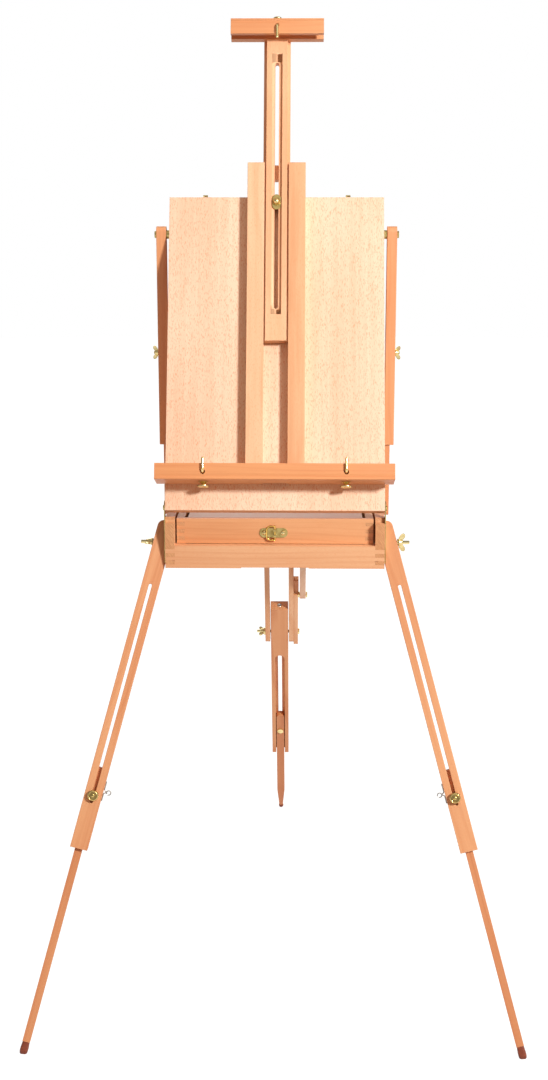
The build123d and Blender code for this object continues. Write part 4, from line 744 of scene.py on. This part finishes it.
def thumb_screw(node, joint, sizes, out):
    """Thumbscrew: shank, wide seat, hollow-sided cone and a knurled disc with a shallow dish."""
    disc, neck, shank = sizes
    top = neck + THUMB_DISC
    tip = [(0, -shank), (THIN_BOLT * THUMB_TIP, -shank)]
    ridges = thread(-shank + PITCH / 2, -PITCH, THIN_BOLT)
    cone = [(radius, neck * share) for radius, share in THUMB_CONE]
    underside = [(disc - inward, neck + height) for inward, height in THUMB_UNDERSIDE]
    face = [(disc - inward, top - depth) for inward, depth in THUMB_FACE]
    dish, depth = THUMB_DISH
    dished = [(dish, top - depth), (0, top - depth)]
    outline = [*tip, *ridges, (THIN_BOLT, 0), *THUMB_SEAT, *cone, *underside, *face, *dished]
    shape = knurled(turned(outline, steps=2 * KNURLS), disc)
    stood(shape, tip_of(node, joint, out, top), out, X)
    stand_in(node, "turned", shape, BRASS)


def cut_off(shape, place, beyond):
    """Cuts away what lies beyond a plane, and closes the cut."""
    everything = shape.verts[:] + shape.edges[:] + shape.faces[:]
    cut = bmesh.ops.bisect_plane(shape, geom=everything, plane_co=place, plane_no=beyond, clear_outer=True)
    rim = [edge for edge in cut["geom_cut"] if isinstance(edge, bmesh.types.BMEdge)]
    bmesh.ops.holes_fill(shape, edges=rim, sides=0)


def slotted_head(radius, height):
    """Domed screw head: two halves on either side of a slot, whose floor is darkened with painted shade."""
    dome = [(radius * share, height * rise) for share, rise in SCREW_DOME]
    slot = radius * SLOT_WIDTH
    parts = []
    for side in (-1, 1):
        half = turned([(0, 0), *dome, (0, height)], steps=SMALL_STEPS)
        cut_off(half, (side * slot / 2, 0, 0), (-side, 0, 0))
        parts.append(half)
    sides = [(radius * share, height * rise) for share, rise in SLOT_FLOOR]
    floor = turned([(0, 0), *sides, (0, sides[-1][1])], steps=SMALL_STEPS)
    # The slot's floor takes the second finish, which is painted shade
    for face in floor.faces:
        face.material_index = 1
    return joined(*parts, floor)


def screw(name, body, place, out, slot_along, head, finish=BRASS):
    """A slotted screw head, given as its radius and height, at a place on a body."""
    shape = stood(slotted_head(*head), place, out, slot_along.cross(out))
    piece_from(name, shape, (finish, SLOT), body)


def hook(node, start, up, arm, rise):
    """An L hook: a rod out of the wood with an even bend and a rounded tip."""
    shape = bmesh.new()
    ring = bmesh.ops.create_circle(shape, cap_ends=True, segments=HOOK_STEPS, radius=HOOK_WIRE)["verts"]
    edges = list({edge for vertex in ring for edge in vertex.link_edges})

    def grown(vec, scale=1.0):
        """Draws the rod's open end out further."""
        nonlocal edges
        made = bmesh.ops.extrude_edge_only(shape, edges=edges)["geom"]
        verts = [item for item in made if isinstance(item, bmesh.types.BMVert)]
        edges = [item for item in made if isinstance(item, bmesh.types.BMEdge)]
        bmesh.ops.translate(shape, verts=verts, vec=vec)
        middle = sum((vertex.co for vertex in verts), Vector()) / len(verts)
        bmesh.ops.scale(shape, verts=verts, vec=(scale, scale, scale), space=Matrix.Translation(-middle))

    grown((0, 0, arm - HOOK_BEND))
    turn = bmesh.ops.spin(shape, geom=edges, cent=(HOOK_BEND, 0, arm - HOOK_BEND), axis=(0, 1, 0),
                          angle=math.radians(90), steps=BEND_STEPS)
    edges = [item for item in turn["geom_last"] if isinstance(item, bmesh.types.BMEdge)]
    grown((rise - HOOK_BEND - HOOK_WIRE, 0, 0))
    for step in range(1, TIP_STEPS):
        before = math.radians(90 * (step - 1) / TIP_STEPS)
        angle = math.radians(90 * step / TIP_STEPS)
        grown((HOOK_WIRE * (math.sin(angle) - math.sin(before)), 0, 0), math.cos(angle) / math.cos(before))
    bmesh.ops.holes_fill(shape, edges=edges, sides=0)
    bmesh.ops.remove_doubles(shape, verts=shape.verts, dist=MERGE)
    bmesh.ops.recalc_face_normals(shape, faces=shape.faces)
    stood(shape, start, LID_OUT, up)
    stand_in(node, "bent", shape, BRASS)


def set_camera():
    """The photograph's camera."""
    camera = bpy.data.objects.new("camera", bpy.data.cameras.new("camera"))
    bpy.context.collection.objects.link(camera)
    camera.data.sensor_fit = "VERTICAL"
    camera.data.sensor_height = SENSOR
    camera.data.lens = FOCAL_PIXELS / IMAGE_HEIGHT * SENSOR
    camera.location = CAMERA_PLACE
    camera.rotation_euler = (math.radians(90 - CAMERA_DOWN), 0, math.radians(CAMERA_LEFT))
    bpy.context.scene.camera = camera


def area_light(name, direction, distance, size, power, colour):
    """A square soft light that looks at the middle of the easel."""
    data = bpy.data.lights.new(name, "AREA")
    data.size = size
    data.energy = power
    data.color = colour
    light = bpy.data.objects.new(name, data)
    bpy.context.collection.objects.link(light)
    light.location = EASEL_MIDDLE + direction.normalized() * distance
    light.rotation_euler = direction.to_track_quat("Z", "Y").to_euler()
    return light


def bounce_light():
    """What the white floor behind the easel sends up to its undersides and back faces."""
    light = area_light("bounce", Z, 1.0, BOUNCE_SIZE, BOUNCE_POWER, BOUNCE_COLOUR)
    light.location = BOUNCE_PLACE
    light.rotation_euler = (math.radians(180), 0, 0)
    light.visible_camera = False
    light.visible_glossy = False


def set_world():
    """White all round to the eye, dim and warm where it lights the wood, brighter in the brass."""
    world = bpy.data.worlds.new("studio")
    bpy.context.scene.world = world
    world.use_nodes = True
    nodes = world.node_tree.nodes
    links = world.node_tree.links
    nodes.clear()
    path = nodes.new("ShaderNodeLightPath")
    tint = nodes.new("ShaderNodeMix")
    tint.data_type = "RGBA"
    tint.inputs[6].default_value = (1, 1, 1, 1)
    tint.inputs[7].default_value = WORLD_TINT
    links.new(path.outputs["Is Diffuse Ray"], tint.inputs[0])
    strength = None
    amounts = {"Is Camera Ray": 1.0, "Is Glossy Ray": WORLD_GLOSS, "Is Diffuse Ray": WORLD_LIGHT}
    for ray, amount in amounts.items():
        share = nodes.new("ShaderNodeMath")
        share.operation = "MULTIPLY_ADD"
        share.inputs[1].default_value = amount
        share.inputs[2].default_value = 0.0
        links.new(path.outputs[ray], share.inputs[0])
        if strength:
            links.new(strength, share.inputs[2])
        strength = share.outputs[0]
    background = nodes.new("ShaderNodeBackground")
    output = nodes.new("ShaderNodeOutputWorld")
    links.new(tint.outputs[2], background.inputs["Color"])
    links.new(strength, background.inputs["Strength"])
    links.new(background.outputs[0], output.inputs[0])


def lay_floor():
    """A large pale floor with faint shadows, which sends no light back to the wood."""
    shape = bmesh.new()
    bmesh.ops.create_circle(shape, cap_ends=True, segments=FLOOR_STEPS, radius=FLOOR_RADIUS)
    mesh = bpy.data.meshes.new("studio_floor")
    shape.to_mesh(mesh)
    shape.free()
    floor = bpy.data.objects.new("studio_floor", mesh)
    bpy.context.collection.objects.link(floor)
    floor.visible_diffuse = False
    finish = Finish("studio_floor")
    shader = finish.add("ShaderNodeBsdfDiffuse", None, {"Color": (0.9, 0.9, 0.9, 1)})
    glow = finish.add("ShaderNodeEmission", None, {"Color": (1, 1, 1, 1), "Strength": FLOOR_GLOW})
    both = finish.add("ShaderNodeMixShader", None, {0: FLOOR_MIX})
    output = finish.add("ShaderNodeOutputMaterial")
    finish.links.new(shader.outputs[0], both.inputs[1])
    finish.links.new(glow.outputs[0], both.inputs[2])
    finish.links.new(both.outputs[0], output.inputs[0])
    mesh.materials.append(finish.material)


def wood(node, along, tones, seed, eased=EASED_JOINT, flecks=1.0, lines=0.5, **chosen):
    """A wooden CAD node, or some of its solids, in beech that grows along a direction."""
    name = chosen.get("name") or node
    dressed(node, beech(name, along, tones, seed, flecks, lines), eased, **chosen)


def brass(*nodes, eased=0.0, finish=BRASS):
    """Brass CAD nodes that keep their shape."""
    for node in nodes:
        dressed(node, finish, eased)


def dress_box():
    """Sides, front rail, back board, bottom, runners and brackets of the box."""
    for number, side in enumerate(SIDES):
        wood(f"box_side_{side}", Y, BOX_TONES, 1.3 + number)
    wood("box_front_rail", X, BOX_TONES, 4.1, lines=0.35)
    wood("box_back_board", X, BOX_TONES, 5.2, lines=0.7)
    wood("box_bottom_panel", Y, HIDDEN_TONES, 6.3, eased=0.0)
    wood("drawer_runners", Y, HIDDEN_TONES, 7.4)
    bearers = longer(Y, LONG_BOARD)
    blocks = shorter(Y, LONG_BOARD)
    wood("rear_brackets", Y, HIDDEN_TONES, 8.5, solid=bearers, name="rear_bearers")
    wood("rear_brackets", Z, HIDDEN_TONES, 8.9, solid=blocks, name="rear_bracket_blocks")
    brass("side_straps", eased=EASED_METAL, finish=BRASS_WORN_AND_SHADE)
    brass("box_bolts")
    brass("back_fittings", "catch_levers", eased=EASED_METAL)
    grip = grip_reach()
    dressed("carry_handle", BRASS, keep=lambda at: not grip(at), name="carry_handle_bail", slot="brass")
    dressed("carry_handle", LEATHER, EASED, keep=grip, name="carry_handle_grip")
    strap_screws()


def strap_screws():
    """Screws of the straps, their slots at two slants, and the domed heads that the lid turns on."""
    pivot = Vector(JOINTS["lid_tilt"]["pos_m"])
    for side, out in OUTWARD.items():
        for number, height in enumerate(STRAP_SCREWS):
            name = f"strap_screw_{side}_{number + 1}"
            place = Vector((out.x * STRAP_FACE, pivot.y, height))
            screw(name, "box", place, out, Y * (0.5 + number) + Z, STRAP_SCREW, BRASS_WORN_AND_SHADE)
        place = Vector((out.x * STRAP_FACE, pivot.y, pivot.z))
        screw(f"lid_pivot_screw_{side}", "box", place, out, Y + Z, LID_PIVOT_SCREW, BRASS_WORN_AND_SHADE)


def grip_reach():
    """Tells whether a point is on the handle's thick grip."""
    low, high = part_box("carry_handle")
    middle = (low.y + high.y) / 2
    radius = (high.y - low.y) / 2
    height = low.z + radius

    def on_grip(at):
        around = math.hypot(at.y - middle, at.z - height)
        return around > radius * GRIP_START and abs(at.x) < GRIP_REACH and at.z < low.z + 2 * radius

    return on_grip


def dress_lid():
    """Lid frame and panel, canvas rails, ledge, mast and top holder."""
    wood("lid_panel", LID_UP, LID_TONES, 10.1, flecks=1.9, lines=0.2)
    wood("lid_frame", LID_UP, BOX_TONES, 11.2, EASED, solid=shorter(X, LID_RAIL), name="lid_frame_long")
    wood("lid_frame", X, BOX_TONES, 12.3, EASED, solid=longer(X, LID_RAIL), name="lid_frame_cross")
    for name, tones, side in (("right", RIGHT_RAIL_TONES, 1), ("left", RAIL_TONES, -1)):
        rail = canvas_rail(side)
        wood("canvas_rails", LID_UP, tones, 13.4 + side, EASED, solid=rail, name=f"canvas_rail_{name}")
    wood("canvas_rails", X, RAIL_TONES, 13.9, EASED, solid=longer(X, CANVAS_RAIL), name="canvas_rail_cross")
    wood("canvas_ledge", X, LEDGE_TONES, 14.5, lines=0.3)
    wood("mast", LID_UP, MAST_TONES, 15.6, lines=0.3)
    wood("top_holder", X, HOLDER_TONES, 16.7, lines=0.3)
    brass("lid_brass", eased=EASED_METAL, finish=BRASS_WORN_AND_SHADE)
    clamp_nut()
    hook("top_holder_hook", lid_point(0, *HOLDER_HOOK_AT), -LID_UP, *HOLDER_HOOK)
    thumb_screw("top_holder_thumbscrew", "top_thumbscrew_turn", HOLDER_THUMB, LID_UP)
    for side, across in zip(SIDES, (LEDGE_HOOK_ACROSS, -LEDGE_HOOK_ACROSS)):
        hook(f"ledge_hook_{side}", lid_point(across, *LEDGE_HOOK_AT), LID_UP, *LEDGE_HOOK)
        joint = f"ledge_thumbscrew_{side}_turn"
        thumb_screw(f"ledge_thumbscrew_{side}", joint, LEDGE_THUMB, -LID_UP)


def lid_point(across, up, out):
    """A point in the lid's directions, measured from the middle of its lower edge and from its face."""
    clamp = Vector(JOINTS["mast_clamp_turn"]["pos_m"])
    return clamp + X * across + LID_UP * (up - CLAMP_UP) + LID_OUT * out


def clamp_nut():
    """The mast clamp's domed nut."""
    node = "mast_clamp_nut"
    shape = turned(CLAMP_NUT)
    stood(shape, seat_of(node, "mast_clamp_turn", LID_OUT), LID_OUT, X)
    stand_in(node, "turned", shape, BRASS)


def dress_struts():
    """Side struts with their wing nuts."""
    for number, side in enumerate(SIDES):
        wood(f"strut_bar_{side}", STRUT_UP, STRUT_TONES, 20.1 + number, EASED)
        strip = f"strut_strip_{side}"
        nut = f"strut_wingnut_{side}"
        wood(strip, STRUT_UP, STRUT_TONES, 22.3 + number, keep=in_strip, name=f"{strip}_wood")
        # The strut bolts take the darker olive brass as painted shade
        dressed(strip, BRASS_WORN_AND_SHADE, keep=lambda at: not in_strip(at), name=f"{strip}_bolts", slot="brass")
        wing_nut(nut, f"{nut}_turn", STRUT_NUT, OUTWARD[side], STRUT_UP)


def in_strip(at):
    """Tells whether a point is on the strut's wooden strip and not on its bolts."""
    return STRIP_ACROSS[0] < abs(at.x) < STRIP_ACROSS[1]


def dress_drawer():
    """Drawer, palette and latch."""
    wood("drawer_front", X, DRAWER_TONES, 30.1, lines=0.4)
    long_boards = longer(Y, LONG_BOARD)
    cross_boards = shorter(Y, LONG_BOARD)
    wood("drawer_frame", Y, HIDDEN_TONES, 31.2, solid=long_boards, name="drawer_long_boards")
    wood("drawer_frame", X, HIDDEN_TONES, 31.9, solid=cross_boards, name="drawer_cross_boards")
    wood("palette", Y, PALETTE_TONES_WITH_PAINTED_LIGHT, 32.3, flecks=0.5, lines=0.3)
    brass("drawer_latch_plate", eased=EASED_METAL, finish=BRASS_WORN_AND_SHADE)
    brass("drawer_latch_ring", finish=BRASS_GOLD)
    pin = Vector(JOINTS["latch_ring_swing"]["pos_m"])
    face = pin.y + LATCH_PIN_OUT - LATCH_THICKNESS
    for number, across in enumerate(LATCH_SCREWS):
        place = Vector((across, face, pin.z))
        screw(f"latch_screw_{number + 1}", "drawer", place, -Y, X * 0.8 + Z, LATCH_SCREW)


def dress_legs():
    """Front legs and rear leg."""
    for number, side in enumerate(SIDES):
        up = LEG_UP[side]
        wood(f"front_leg_outer_{side}", up, LEG_TONES, 40.1 + number, EASED)
        wood(f"front_leg_inner_{side}", up, INNER_LEG_TONES, 42.1 + number)
        rubber_boot(side)
        leg_knob(side)
        brass(f"front_leg_washer_{side}")
        nut = f"front_leg_wingnut_{side}"
        wing_nut(nut, f"{nut}_turn", LEG_NUT, OUTWARD[side], LEG_WINGS[side])
        dressed(f"leg_wire_clip_{side}", STEEL)
    wood("rear_fork_arms", REAR_UP, RAIL_TONES, 45.1, EASED, lines=1.0)
    brass("rear_fork_bolts")
    wood("rear_outer_leg", REAR_UP, LEG_TONES, 46.2, EASED, lines=1.4)
    wood("rear_inner_leg", REAR_UP, INNER_LEG_TONES, 47.3)
    rear_ball()
    wood("rear_stay", STAY_UP, LID_TONES, 48.4, EASED)
    wing_nut("rear_pivot_wingnut", "rear_knee_wingnut_turn", KNEE_NUT, -X, REAR_FRONT)
    brass("rear_clamp_bolt")
    wing_nut("rear_clamp_wingnut", "rear_clamp_wingnut_turn", KNEE_NUT, -REAR_FRONT, X)
    top = tip_of("rear_outer_leg", "rear_knee_fold", REAR_UP)
    body = BODY_OF["rear_outer_leg"]
    screw("rear_leg_top_screw", body, top, REAR_UP, X + REAR_FRONT * 0.6, LEG_TOP_SCREW, STEEL)


def rubber_boot(side):
    """Rounded square rubber boot on a front leg's end, flattened where it stands on the floor."""
    node = f"front_leg_foot_{side}"
    up = LEG_UP[side]
    across = up.cross(LEG_FRONT[side])
    spots = [vertex.co for vertex in frame["nodes"][node].data.vertices]
    reach = [spot.dot(up) for spot in spots]
    top = max(reach)
    rim = [spot for spot, height in zip(spots, reach) if height > top - BOOT_RIM]
    middle = sum(rim, Vector()) / len(rim)
    middle += up * (top - middle.dot(up))
    half = max(abs((spot - middle).dot(across)) for spot in rim)
    shape = turned([(radius * half, height * (top - min(reach))) for radius, height in BOOT_OUTLINE])
    for vertex in shape.verts:
        around = math.atan2(vertex.co.y, vertex.co.x)
        squared = (math.cos(around) ** BOOT_SQUARE + math.sin(around) ** BOOT_SQUARE) ** (1 / BOOT_SQUARE)
        vertex.co.x /= squared
        vertex.co.y /= squared
    stood(shape, middle, up, across)
    cut_off(shape, (0, 0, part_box(node)[0].z), -Z)
    stand_in(node, "boot", shape, RUBBER)


def rear_ball():
    """Rubber ball on the rear leg's tapered end, flattened where it stands on the floor."""
    node = "rear_foot"
    low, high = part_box(node)
    middle = (low + high) / 2
    middle.z = high.z / 2
    top = max(vertex.co.dot(REAR_UP) for vertex in frame["nodes"][node].data.vertices)
    shape = bmesh.new()
    bmesh.ops.create_uvsphere(shape, u_segments=SMALL_STEPS, v_segments=BALL_RINGS, radius=1.0)
    length = top - middle.dot(REAR_UP)
    bmesh.ops.scale(shape, vec=(REAR_BALL, REAR_BALL, length), verts=shape.verts)
    stood(shape, middle, REAR_UP, X)
    cut_off(shape, (0, 0, low.z), -Z)
    stand_in(node, "ball", shape, RUBBER)


bpy.context.scene.view_settings.view_transform = "Standard"
set_camera()
set_world()
lay_floor()
area_light("key", KEY_DIRECTION, KEY_DISTANCE, KEY_SIZE, KEY_POWER, KEY_COLOUR)
area_light("fill", FILL_DIRECTION, FILL_DISTANCE, FILL_SIZE, FILL_POWER, FILL_COLOUR)
area_light("top", TOP_DIRECTION, TOP_DISTANCE, TOP_SIZE, TOP_POWER, TOP_COLOUR)
area_light("back", BACK_DIRECTION, BACK_DISTANCE, BACK_SIZE, BACK_POWER, BACK_COLOUR)
bounce_light()
dress_box()
dress_lid()
dress_struts()
dress_drawer()
dress_legs()
